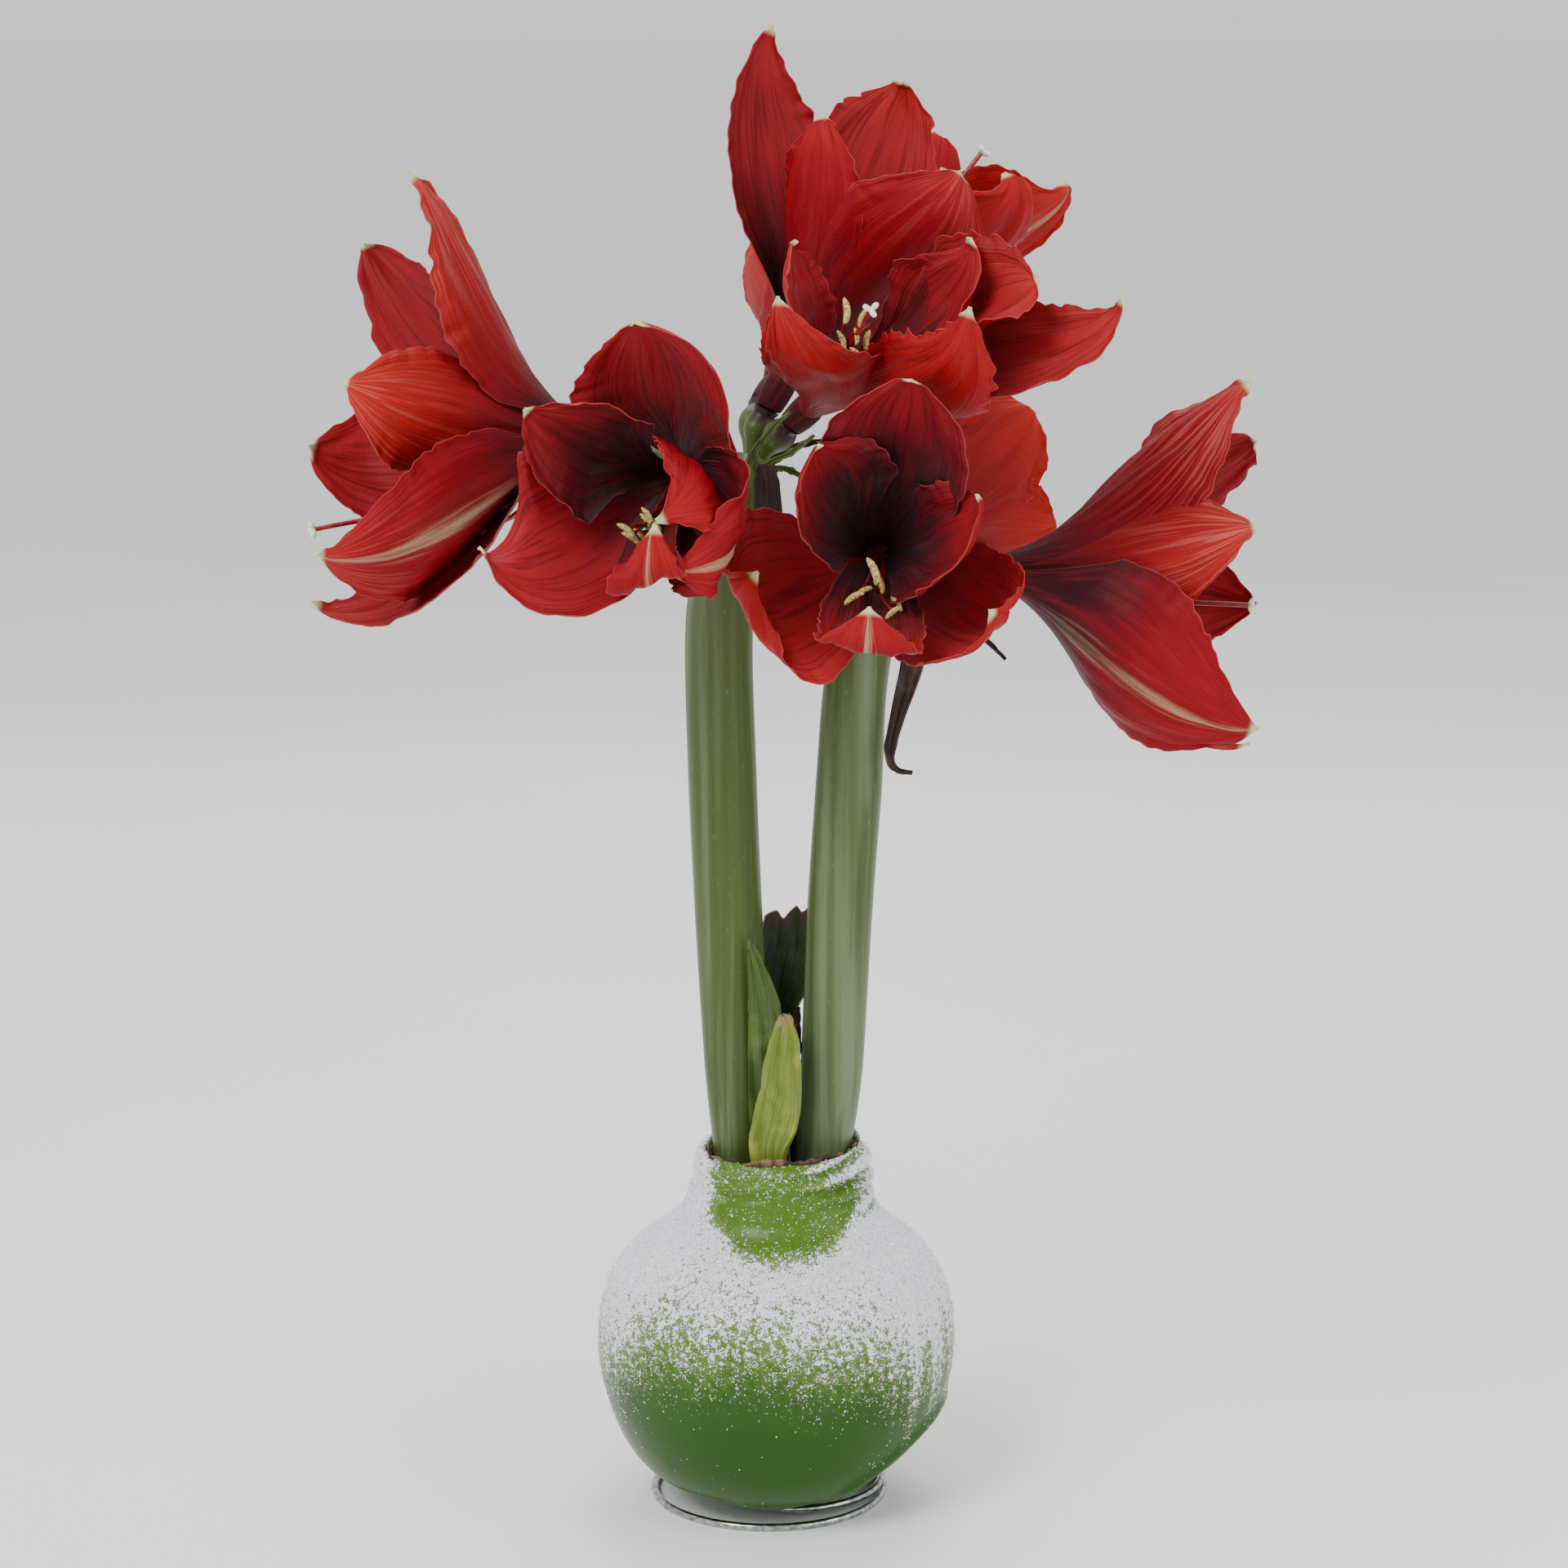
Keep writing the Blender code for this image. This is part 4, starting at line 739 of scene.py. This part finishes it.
tepalStyle = {
    "thickness": 0.7, "columns": 22, "rows": 118,
    "share": 0.85,  # how far a tepal wraps round the throat
    "broadest": 0.58,  # the share of its length where it is broadest
    "wave": 1.3, "crinkle": 0.6, "tooth": 0.9, "ripple": 0.45, "keel": 0.5, "hook": 1.6,
    "skew": 0.0,  # how much wider one side is
    "point": 1.85,  # how blunt the end is
    "stripe": 0.0, "blush": 0.4, "glow": 0.1,  # the pale midrib, the pink lines with painted sheen on them, and the painted glow of light shining through
    "dark": 0.0,  # painted shade: how much farther the dark of the throat reaches out on a tepal in shade; below 0 it is painted light on a lit tepal
}
blooms = {
    "bloom_left": {"foot": (-50, 6, 332), "anthers": (-110, -12, 308), "stigma": (-139, -28, 311), "tepals": [
        ((-111, -5, 415), (-89, 2, 376), 23, -25, {"skew": -0.1, "blush": 0.75, "glow": 0.4, "crinkle": 1.0}),
        ((-129, -34, 355), (-100, -23, 346), 23, 0, {"skew": -0.1, "blush": 0.7, "glow": 0.4}),
        ((-138, -40, 305), (-99, -29, 312), 28, 22, {"skew": -0.1, "stripe": 0.75, "blush": 0.6}),
        ((-143, -10, 285), (-103, -6, 298), 20, -30, {"tooth": 1.4}),
        ((-146, 15, 331), (-112, 20, 322), 27, 0, {"skew": -0.1, "point": 3.0}),
        ((-128, 22, 393), (-104, 26, 364), 25, 0, {}),
    ]},
    "bloom_front_left": {"foot": (-27, -14, 326), "stigma": (-38, -56, 314),
        "pods": [((-47, -74, 319), (-42, -74, 315)), ((-40, -70, 323), (-37, -70, 318)),
                 ((-46, -70, 316), (-41, -72, 313)), ((-37, -62, 318), (-35, -64, 314)),
                 ((-41, -60, 320), (-38, -62, 316)), ((-43, -62, 316), (-40, -64, 313))], "tepals": [
        ((-42, -62, 376), (-33, -44, 354), 34, 0, {"skew": -0.1}),
        ((-36, -88, 321), (-21, -70, 330), 20, 35, {"crinkle": 1.2}),
        ((-33, -84, 306), (-15, -68, 314), 24, 0, {"stripe": 0.7, "blush": 0.5}),
        ((-37, -92, 321), (-38, -84, 305), 12, 0, {"point": 4.0, "stripe": 0.8}),
        ((-88, -66, 310), (-60, -56, 306), 33, 0, {"skew": -0.12, "point": 2.3, "dark": -0.1}),
        ((-74, -70, 351), (-54, -52, 337), 23, 0, {"dark": 0.25}),
    ]},
    "bloom_top": {"foot": (-5, 4, 344), "anthers": (50, 4, 408), "stigma": (59, 5, 420), "tepals": [
        ((-4, 2, 458), (-7, 2, 414), 19, -50, {"skew": -0.25, "blush": 0.2, "crinkle": 1.0}),
        ((12, -22, 432), (9, -21, 402), 19, 0, {"skew": -0.15, "blush": 0.2}),
        ((52, -25, 416), (34, -26, 391), 30, 0, {"skew": 0.1, "blush": 0.6, "glow": 0.0}),
        ((66, -8, 415), (52, -4, 391), 22, -40, {"glow": 0.3, "blush": 0.2}),
        ((86, 22, 411), (62, 18, 389), 20, -70, {"skew": -0.5, "stripe": 0.6, "glow": 0.4}),
        ((37, 42, 441), (27, 36, 410), 23, 0, {"skew": 0.15, "glow": 0.3, "blush": 0.2, "tooth": 1.6}),
    ]},
    "bloom_upper_right": {"foot": (3, -9, 341), "stigma": (24.5, -70, 378.5),
        "pods": [((18, -62, 381.5), (18.2, -62, 374)), ((22.7, -64, 378.6), (20.9, -64, 373.5)),
                 ((20.7, -60, 373), (21.2, -60, 368)), ((19, -60, 367.6), (22, -60, 365)),
                 ((16, -56, 372), (18, -56, 366)), ((24, -56, 372), (23, -57, 366))], "tepals": [
        ((54, -50, 398), (42, -38, 372), 25, 0, {"skew": -0.08}),
        ((72, -58, 386), (53, -48, 376), 24, 0, {"tooth": 1.6, "glow": 0.3}),
        ((97, -60, 381), (66, -50, 363), 18, 20, {"point": 1.5, "glow": 0.3}),
        ((52, -78, 380), (36, -58, 356), 21, -40, {"skew": 0.2, "tooth": 1.6, "dark": -0.3}),
        ((-2, -66, 382), (2, -48, 358), 20, 40, {"skew": 0.5, "blush": 0.5, "glow": 0.2, "dark": -0.35}),
        ((3, -46, 397), (3, -38, 375), 18, 0, {"point": 3.0, "dark": -0.3}),
    ]},
    "bloom_front": {"foot": (27, -16, 299), "stigma": (26, -58, 290),
        "pods": [((24.6, -74, 309), (27.5, -74, 301)), ((16.7, -78, 296.4), (22.3, -78, 300)),
                 ((28.5, -80, 292.5), (33, -80, 296)), ((20, -68, 297), (25, -68, 300)),
                 ((27, -64, 303), (29, -65, 297)), ((31, -68, 297), (34, -70, 293))], "tepals": [
        ((36, -84, 361), (32, -60, 338), 26, 0, {"dark": 0.2}),
        ((56, -76, 327), (47, -62, 313), 22, 0, {"skew": -0.2, "dark": 0.1}),
        ((59, -80, 294), (56, -58, 292), 24, 0, {"skew": -0.25, "dark": -0.1, "glow": 0.2}),
        ((24, -95, 298), (24, -84, 286), 16, 0, {"point": 4.0, "stripe": 0.8}),
        ((-8, -62, 303), (-6, -48, 293), 32, 0, {"skew": 0.15, "point": 1.4, "dark": -0.35, "glow": 0.25}),
        ((10, -80, 342), (12, -64, 325), 23, 0, {"dark": 0.2}),
    ]},
    "bloom_right": {"foot": (53, 2, 295), "anthers": (111, -8, 284), "stigma": (140, -12, 286), "tepals": [
        ((140, 0, 353), (107, 2, 324), 22, 35, {"skew": 0.2, "blush": 0.85, "crinkle": 1.0}),
        ((146, 22, 332), (118, 27, 316), 20, 0, {}),
        ((147, 20, 282), (115, 26, 284), 21, 0, {}),
        ((142, -5, 241), (102, 0, 258), 17, 0, {}),
        ((142, -30, 251), (101, -25, 267), 30, -25,
         {"skew": -0.12, "stripe": 0.75, "glow": 0.0, "dark": 0.12}),
        ((140, -28, 312), (109, -18, 304), 20, 0, {"blush": 0.8, "glow": 0.4}),
    ]},
    "bloom_rear_left": {"foot": (-7, 18, 343), "anthers": (26, 78, 378), "stigma": (28, 90, 382), "tepals": [
        ((-13, 80, 378), (-8, 58, 372), 21, 0, {"point": 3.5, "glow": 0.4}),
        ((6, 90, 420), (8, 68, 396), 19, 0, {}),
        ((48, 86, 424), (34, 66, 401), 24, 0, {}),
        ((68, 92, 392), (48, 72, 380), 19, 0, {}),
        ((52, 86, 360), (38, 68, 356), 22, 0, {"stripe": 0.6}),
        ((14, 96, 354), (14, 76, 352), 18, 0, {}),
    ]},
    "bloom_rear_right": {"foot": (36, 14, 303), "anthers": (48, 76, 300), "stigma": (52, 88, 298), "tepals": [
        ((80, 80, 336), (66, 62, 325), 22, 0, {"glow": 0.5}),
        ((88, 76, 300), (70, 62, 300), 19, 0, {"glow": 0.5}),
        ((54, 84, 266), (50, 64, 276), 23, 0, {"stripe": 0.6}),
        ((18, 92, 280), (24, 68, 286), 18, 0, {}),
        ((10, 80, 318), (18, 60, 315), 22, 0, {}),
        ((42, 88, 346), (41, 66, 334), 19, 0, {}),
    ]},
}
tubeRadius = 4.6
viaShare = 0.6  # the share of a tepal's length at which it passes its second place


def bloomAxis(bloom):
    foot = numbers(bloom["foot"])
    tips = numbers([tepal[0] for tepal in bloom["tepals"]])
    return foot, unit(tips.mean(axis=0) - foot)


def tepalHalf(v, greatest, style):  # narrow at the foot, broad past the middle, then a point with a small nib
    broadest = style["broadest"]
    foot = tubeRadius + (greatest - tubeRadius) * smoothStep(0, broadest, v) ** 0.8
    fall = np.clip((v - broadest) / (1 - broadest), 0, 1)
    body = greatest * np.clip(1 - fall ** style["point"], 0, 1) ** 1.05
    nib = 1.3 - smoothStep(0.975, 1.0, v)
    return np.where(v < broadest, foot, np.maximum(body, nib))


def tepalPlaces(bloom, index, u, v, seed):  # u runs across the tepal from -1 to 1, v along it from 0 to 1
    foot, axis = bloomAxis(bloom)
    tip, via, greatest, roll, changes = bloom["tepals"][index]
    style = {**tepalStyle, **changes}
    tip, via = numbers(tip), numbers(via)
    outward = unit((via - foot) - axis * np.dot(via - foot, axis))
    start = foot + axis * 3 + outward * (tubeRadius - 1.6 - 0.9 * (index % 2))
    first = start + axis * np.linalg.norm(via - start) * 0.5
    t, s = viaShare, 1 - viaShare
    second = (via - start * s ** 3 - first * (3 * s * s * t) - tip * t ** 3) / (3 * s * t * t)
    middleLine = swing(start, first, second, tip, v)
    t, s = v[:, None], 1 - v[:, None]
    along = unit((first - start) * s * s + (second - first) * (2 * s * t) + (tip - second) * t * t)
    side = np.cross(axis, outward)
    side = unit(side - along * (along @ side)[:, None])
    turn = math.radians(roll) * smoothStep(0, viaShare, v)[:, None]
    side = side * np.cos(turn) + np.cross(along, side) * np.sin(turn)
    inward = np.cross(along, side)
    away = (middleLine - foot) - axis * ((middleLine - foot) @ axis)[:, None]
    away = np.linalg.norm(away, axis=1)
    widest = away * (style["share"] + np.minimum(1, v / 0.6) ** 3)
    half = np.minimum(tepalHalf(v, greatest, style), widest) * (1 + style["skew"] * np.sign(u))
    radius = np.maximum(away * 1.05, half / 1.15)
    angle = u * half / radius
    edge = np.abs(u)
    grown = smoothStep(0.25, 0.6, v)
    wave, crinkle, tooth = [np.where(u < 0, curve(v, knots, seed + k), curve(v, knots, seed + k + 1))
                            for curve, knots, k in ((wobble, 8, 1), (wobble, 36, 3), (teeth, 44, 5))]
    ripple = np.sin(9 * u + 3 * wobble(v, 5, seed + 7) + seed)
    ripple += 0.6 * np.sin(19 * u + 3 * wobble(v, 6, seed + 8))
    lift = style["wave"] * wave * edge ** 2.5 * grown + style["crinkle"] * crinkle * edge ** 5 * grown
    lift += style["ripple"] * ripple * grown * (1 - smoothStep(0.85, 1.0, v))
    lift -= style["keel"] * np.exp(-(u * half / 1.6) ** 2) * smoothStep(0.05, 0.3, v)
    lift += style["hook"] * smoothStep(0.93, 1.0, v) ** 2
    slip = style["tooth"] * (tooth + 0.4 * crinkle) * edge ** 8 * grown * (1 - smoothStep(0.95, 1.0, v))
    lift, slip = lift[:, None], (slip * np.sign(u))[:, None]
    angle, radius = angle[:, None], radius[:, None]
    normal = inward * np.cos(angle) - side * np.sin(angle)
    sideways = side * np.cos(angle) + inward * np.sin(angle)
    curled = side * np.sin(angle) * radius + inward * (1 - np.cos(angle)) * radius
    return middleLine + curled + normal * lift + sideways * slip, style


def makeTepal(bloom, index, seed):
    piece, u, v = addGrid("tepal", tepalStyle["columns"], tepalStyle["rows"])
    u = np.sign(u) * np.abs(u) ** 0.8  # closer columns near the margins
    places, style = tepalPlaces(bloom, index, u, v, seed)
    setPoints(piece, world(places))
    for trait in petalTraits:
        setValues(piece, trait, style[trait])
    setValues(piece, "seed", seed * 0.37)
    body = piece.vertex_groups.new(name="body")
    weights = np.round(1 - 0.9 * np.abs(u) ** 3, 1)
    for level in np.unique(weights):
        body.add(np.nonzero(weights == level)[0].tolist(), float(level), "REPLACE")
    piece.data.materials.append(petalOutside)
    piece.data.materials.append(petalInside)
    thicken(piece, style["thickness"], 1)
    return piece


stamens = {
    "podRadius": 1.25, "podHalf": 4.0, "podBend": 0.9, "podSpread": 5.5, "podStep": 3.0,
    "filament": (0.85, 0.5), "style": (0.95, 0.75), "lobeRadius": 0.85, "lobeHalf": 1.9,
    "rise": 9.0,  # how far from the bloom's foot the rods start
}


def makeAnther():  # a curved pod, split along its length and dusted with pollen
    pod, angle, v = addBall("anther", 16, 18)
    z = v * 2 - 1
    split = 1 - 0.3 * np.maximum(0, np.cos(angle)) ** 6
    radius = stamens["podRadius"] * np.sqrt(np.clip(1 - np.abs(z) ** 2.6, 0, 1)) * split
    x = radius * np.cos(angle) - stamens["podBend"] * z ** 2
    places = np.stack([x, radius * np.sin(angle) * 0.85, z * stamens["podHalf"]], axis=1)
    grain = np.array([noise.noise(Vector(p * 1.7)) for p in places])
    places *= 1 + 0.16 * grain[:, None]
    setPoints(pod, places * mm)
    dress(pod, 180, pollen)
    return pod


def plant(piece, direction, place):  # turns a piece made upright at the origin, and moves it to its place
    turn = Vector(direction).to_track_quat("Z", "X").to_matrix().to_4x4()
    turn.translation = Vector(world(place))
    piece.data.transform(turn)


def podEnds(bloom, foot):
    if "pods" in bloom:
        return numbers(bloom["pods"])
    centre = numbers(bloom["anthers"])
    ahead = unit(centre - foot)
    right = unit(np.cross(ahead, (0, 0, 1)))
    up = np.cross(right, ahead)
    ends = []
    for k in range(6):
        turn = math.tau * (k + 0.25) / 6
        spread = right * math.cos(turn) + up * math.sin(turn)
        place = centre + spread * stamens["podSpread"] + ahead * stamens["podStep"] * (-1) ** k
        half = unit(spread * 0.7 + up * 0.5 + ahead * 0.4) * stamens["podHalf"]
        ends.append((place - half, place + half))
    return ends


def makeStamens(name, bloom, anther):
    foot, axis = bloomAxis(bloom)
    routes, pods = [], []
    for k, (low, high) in enumerate(podEnds(bloom, foot)):
        place = (low + high) / 2
        turn = math.tau * k / 6
        spread = np.array([math.cos(turn), 0.0, math.sin(turn)])
        bend = foot * 0.45 + place * 0.55 + spread * 2.5 - np.array([0, 0, 3.0])
        start = foot + axis * stamens["rise"] + spread * 1.6
        routes.append((curveThrough([start, bend, place], 12), np.linspace(*stamens["filament"], 12)))
        pod = anther.copy()
        pod.data = anther.data.copy()
        bpy.context.scene.collection.objects.link(pod)
        setPoints(pod, points(pod) * np.linalg.norm(high - low) / (2 * stamens["podHalf"]))
        plant(pod, unit(high - low), place)
        pods.append(pod)
    tip = numbers(bloom["stigma"])
    bend = foot * 0.4 + tip * 0.6 - np.array([0, 0, 2.0])
    start = foot + axis * stamens["rise"]
    routes.append((curveThrough([start, bend, tip], 14), np.linspace(*stamens["style"], 14)))
    rods = tubes(name + "Filaments", routes, 3)
    dress(rods, 60, filamentSkin)
    ahead = unit(tip - bend)
    side = unit(np.cross(ahead, (0.3, 0.2, 1)))
    lobes = []
    for k in range(3):
        turn = math.tau * k / 3
        lobe, angle, v = addBall("stigmaLobe", 12, 10)
        z = v * 2 - 1
        radius = stamens["lobeRadius"] * np.sqrt(np.clip(1 - z ** 2, 0, 1)) * (1 + 0.25 * z)
        height = z * stamens["lobeHalf"] + 1.2
        setPoints(lobe, around(angle, radius, height) * mm)
        plant(lobe, side * math.cos(turn) + np.cross(ahead, side) * math.sin(turn) + ahead * 0.5, tip)
        dress(lobe, 180, stigmaSkin)
        lobes.append(lobe)
    return joinAll(name + "Stamens", [rods] + pods + lobes)


tubeOutline = [(0, 0), (3.6, 0), (4.2, 0.6), (4.6, 4), (4.7, 8), (4.2, 12), (3.4, 15), (0, 15.5)]


def makeTube(bloom):  # the short tube that the tepals stand in
    foot, axis = bloomAxis(bloom)
    tube, angle, v = addBall("bloomTube", 30, 24)
    radius, height = outlineAt(tubeOutline, v)
    radius = radius * (1 + 0.05 * np.cos(3 * angle))
    side = unit(np.cross(axis, (0.3, 0.2, 1)))
    front = np.cross(axis, side)
    places = foot + axis * height[:, None] + side * (radius * np.cos(angle))[:, None]
    setPoints(tube, world(places + front * (radius * np.sin(angle))[:, None]))
    for trait in petalTraits + ("seed",):
        setValues(tube, trait, 0.0)
    tube.data.materials.append(petalOutside)
    corners = tube.data.uv_layers.active.data
    flat = np.zeros(len(corners) * 2, dtype=np.float32)
    corners.foreach_get("uv", flat)
    flat[1::2] *= 0.25  # the tube takes the colours of the tepals' lowest quarter
    corners.foreach_set("uv", flat)
    return tube


def camelName(node):
    first, *rest = node.split("_")
    return first + "".join(word.capitalize() for word in rest)


def makeBlooms():
    anther = makeAnther()
    for number, (node, bloom) in enumerate(blooms.items()):
        name = camelName(node)
        tepals = [makeTepal(bloom, index, 100 * number + 10 * index) for index in range(6)]
        petals = joinAll(name + "Petals", [makeTube(bloom)] + tepals)
        dress(petals, 70)
        hand(petals, node)
        hand(makeStamens(name, bloom, anther), node)
        print(name, "made")
    bpy.data.objects.remove(anther)


makeBlooms()


# Scapes: the two stems, their stalks with ovaries, and the thin straps among them

scapes = {
    "scape_left": {
        "path": [((-10.5, 0, 80.5), 6.6, 6.6), ((-12.8, 0, 100), 8.6, 8.2), ((-13.3, 0, 115), 8.8, 8.6),
                 ((-14.6, 0, 140), 10, 9.2), ((-16.8, 0, 182), 10.3, 9.4), ((-18.9, 0, 232), 10.4, 9.4),
                 ((-19.6, 0, 280), 10.2, 9.3), ((-14.5, 0, 308), 9.4, 8.8), ((-11, 2, 322), 8.2, 8.4),
                 ((-9.6, 3, 330), 5.4, 5.8)],
        "umbel": (-10, 3, 325),
        "carries": ["bloom_left", "bloom_front_left", "bloom_top", "bloom_upper_right", "bloom_rear_left"],
        "straps": [([(-11, -2, 326), (-8, -9, 333), (-3, -15, 340), (2, -20, 345)], 0.0),
                   ([(-8, -3, 324), (-3, -10, 329), (3, -16, 333), (9, -21, 338)], 0.3),
                   ([(-7, 6, 326), (-1, 9, 330), (8, 7, 333), (19, 4, 334)], 0.9),
                   ([(-7, 5, 323), (0, 8, 325), (8, 8, 321)], 0.3)],
    },
    "scape_right": {
        "path": [((9.5, 0, 80.5), 6.4, 6.4), ((11.8, 0, 100), 8.4, 8.2), ((12.4, 0, 115), 8.6, 8.5),
                 ((14.8, 0, 140), 9.6, 9), ((17.2, 0, 190), 10, 9.2), ((19.8, 0, 228), 10.1, 9.2),
                 ((21.6, 0, 258), 9.6, 9), ((25.4, 1, 280), 9, 8.6), ((28, 2, 292), 8, 8.2),
                 ((28.8, 2, 300), 5.2, 5.6)],
        "umbel": (28, 2, 295),
        "carries": ["bloom_front", "bloom_right", "bloom_rear_right"],
        "straps": [([(30, 4, 291), (43, 11, 286), (56, 13, 277), (63, 11, 271), (68, 9, 266)], 0.9),
                   ([(27, 6, 292), (22, 13, 298), (15, 18, 306)], 0.3)],
    },
}
stalks = {"radius": 2.6, "ovary": 2.3, "ovaryAt": 0.7, "end": 4.3, "swing": 0.12}


def makeStalk(umbel, bloom):
    foot, axis = bloomAxis(bloom)
    start, end = numbers(umbel), foot - axis * 0.1
    reach = np.linalg.norm(end - start)
    second = start + (end - start) * 0.25 + np.array([0, 0, reach * stalks["swing"]])
    third = end - axis * reach * 0.45
    share = np.linspace(0, 1, 24)
    route = swing(start, second, third, end, share)
    radii = stalks["radius"] + stalks["ovary"] * bell(share, stalks["ovaryAt"], 0.2)
    radii = radii + (stalks["end"] - radii) * smoothStep(0.9, 1.0, share)
    stalk, t = sweepTube("stalk", list(zip(route, radii, radii)), 24, 40,
                         lambda angle, t: 0.4 * np.cos(3 * angle) * bell(t, stalks["ovaryAt"], 0.16))
    setValues(stalk, "ripe", t * 0.85 + 0.15)
    return stalk


bladeStyle = {"thickness": 1.2, "cup": 0.12, "facing": (0, -1, 0), "columns": 20, "rows": 90,
              "torn": 0.0, "fold": 0.0, "point": 0.0}  # a ragged end, a fold across and a narrowed end


def blade(name, changes):  # a row of the path is a place, the half width and the twist in degrees
    style = {**bladeStyle, **changes}
    piece, u, v = addGrid(name, style["columns"], style["rows"])
    row, along = followCurve(style["path"], v)
    middleLine, half, turn = row[:, :3], np.maximum(row[:, 3], 0.3), np.radians(row[:, 4:])
    half = half * (1 - style["point"] * smoothStep(0.86, 1.0, v) ** 2)
    front = numbers(style["facing"])
    front = unit(front - along * (along @ front)[:, None])
    front = front * np.cos(turn) + np.cross(along, front) * np.sin(turn)
    side = np.cross(along, front)
    lift = style["cup"] * half * u * u + 0.25 * np.sin(7 * u + 9 * v)
    lift += 0.4 * wobble(v, 9, 61) * np.abs(u) ** 3
    lift += style["fold"] * bell(u, 0.5 - 1.5 * smoothStep(0.35, 0.6, v), 0.35) * bell(v, 0.52, 0.2)
    drop = style["torn"] * (teeth((u + 1) / 2, 9, 62) + 0.6 * u - 0.6) * smoothStep(0.75, 1.0, v)
    slip = 0.35 * wobble(v, 14, 63) * np.abs(u) ** 3 * np.sign(u)
    places = middleLine + along * drop[:, None] + side * (u * half + slip)[:, None] + front * lift[:, None]
    setPoints(piece, world(places))
    thicken(piece, style["thickness"], 0)
    return piece


strapStyle = {"halves": (1.5, 0.45), "facing": (0, -1, 0.4), "cup": 0.3, "thickness": 0.6,
              "columns": 6, "rows": 40}


def makeScapes():
    for number, (node, scape) in enumerate(scapes.items()):
        stem, t = sweepTube("stem", scape["path"], 64, 150, lambda angle, t:
                            0.08 * np.sin(9 * angle + number) + 0.12 * np.sin(4 * angle + 3 * t))
        setValues(stem, "ripe", 0.0)
        parts = [stem] + [makeStalk(scape["umbel"], blooms[bloom]) for bloom in scape["carries"]]
        for route, ripeness in scape["straps"]:
            halves = np.linspace(*strapStyle["halves"], len(route))
            path = [(*place, half, 0) for place, half in zip(route, halves)]
            strap = blade("strap", {"path": path, **strapStyle})
            setValues(strap, "ripe", ripeness)
            parts.append(strap)
        whole = joinAll(camelName(node), parts)
        whole.data.materials.clear()
        dress(whole, 60, stemSkin)
        hand(whole, node)


makeScapes()
print("scapes made")


# Leaves and bracts

leaves = {
    "leaf_left": {"skin": greenLeaf, "slot": "leaf_dark", "facing": (-0.1, -1, 0), "thickness": 1.1,
                  "point": 0.9, "path": [
        (-2.6, -11, 98.4, 4.6, 0), (-4.4, -11.2, 125, 6.0, 0), (-5.2, -11.4, 145, 5.8, 0),
        (-6.0, -11.4, 160, 4.8, 0), (-7.8, -11.4, 171, 3.2, 0), (-10.8, -11, 183, 1.0, 0)]},
    "leaf_back": {"skin": cutLeaf, "slot": "leaf_dark", "torn": 3.4, "path": [
        (0, 13.6, 98.4, 6.5, 0), (-1.6, 13.8, 130, 5.6, 0), (-2.2, 13.8, 152, 5.8, 0),
        (0.6, 13.5, 170, 9.4, 0), (3.0, 12.8, 187, 8.6, 0)]},
    "leaf_short": {"skin": youngLeaf, "slot": "leaf_pale", "thickness": 2.2, "cup": 0.4, "torn": 0.6,
                   "fold": 1.6, "point": 0.5, "path": [
        (-4.0, -15.4, 98.4, 3.2, 0), (-4.8, -15.4, 117, 5.4, 0), (-2.6, -15.4, 126, 6.6, 0),
        (-1.2, -15.4, 135, 6.0, 0), (-0.5, -15.4, 146, 4.6, 0), (0.2, -15.3, 153, 3.8, 0),
        (0.4, -15.2, 160, 2.2, 0)]},
    "leaf_stub": {"skin": dryBract, "slot": "bract_brown", "cup": 0.2, "torn": 0.8, "point": 0.4, "path": [
        (1.8, 5.2, 98.4, 1.6, 0), (1.6, 4.6, 125, 2.2, 0), (2.8, 3.8, 146, 2, 0), (4.2, 3, 157.5, 0.8, 0)]},
    "spathe_left": {"skin": dryBract, "slot": "bract_brown", "facing": (0.2, -1, 0), "thickness": 0.8,
                    "cup": 0.35, "point": 0.8, "path": [
        (-5.6, -11.6, 328.5, 2.6, 0), (-5.2, -13.4, 322, 3.8, 8), (-4.6, -13.8, 312, 4.2, 14),
        (-2.6, -13.6, 298, 3, 22), (0.8, -12.6, 284, 0.8, 30)]},
    "spathe_right": {"skin": dryBract, "slot": "bract_brown", "facing": (0.5, -1, 0), "thickness": 0.8,
                     "cup": 0.35, "point": 0.5, "path": [
        (38.9, 4, 290.9, 3, 0), (40.4, 1, 280, 4.6, 6), (38.4, -4, 266, 3.6, 16),
        (34.6, -8.4, 252, 2.2, 30), (32.4, -10, 241, 1.3, 46), (34.2, -10.2, 235.6, 1.1, 60),
        (39, -10, 234.4, 0.8, 70)]},
}


def makeLeaves():
    for node, leaf in leaves.items():
        piece = blade(camelName(node), leaf)
        dress(piece, 50, leaf["skin"])
        hand(piece, node)


makeLeaves()
print("leaves made")
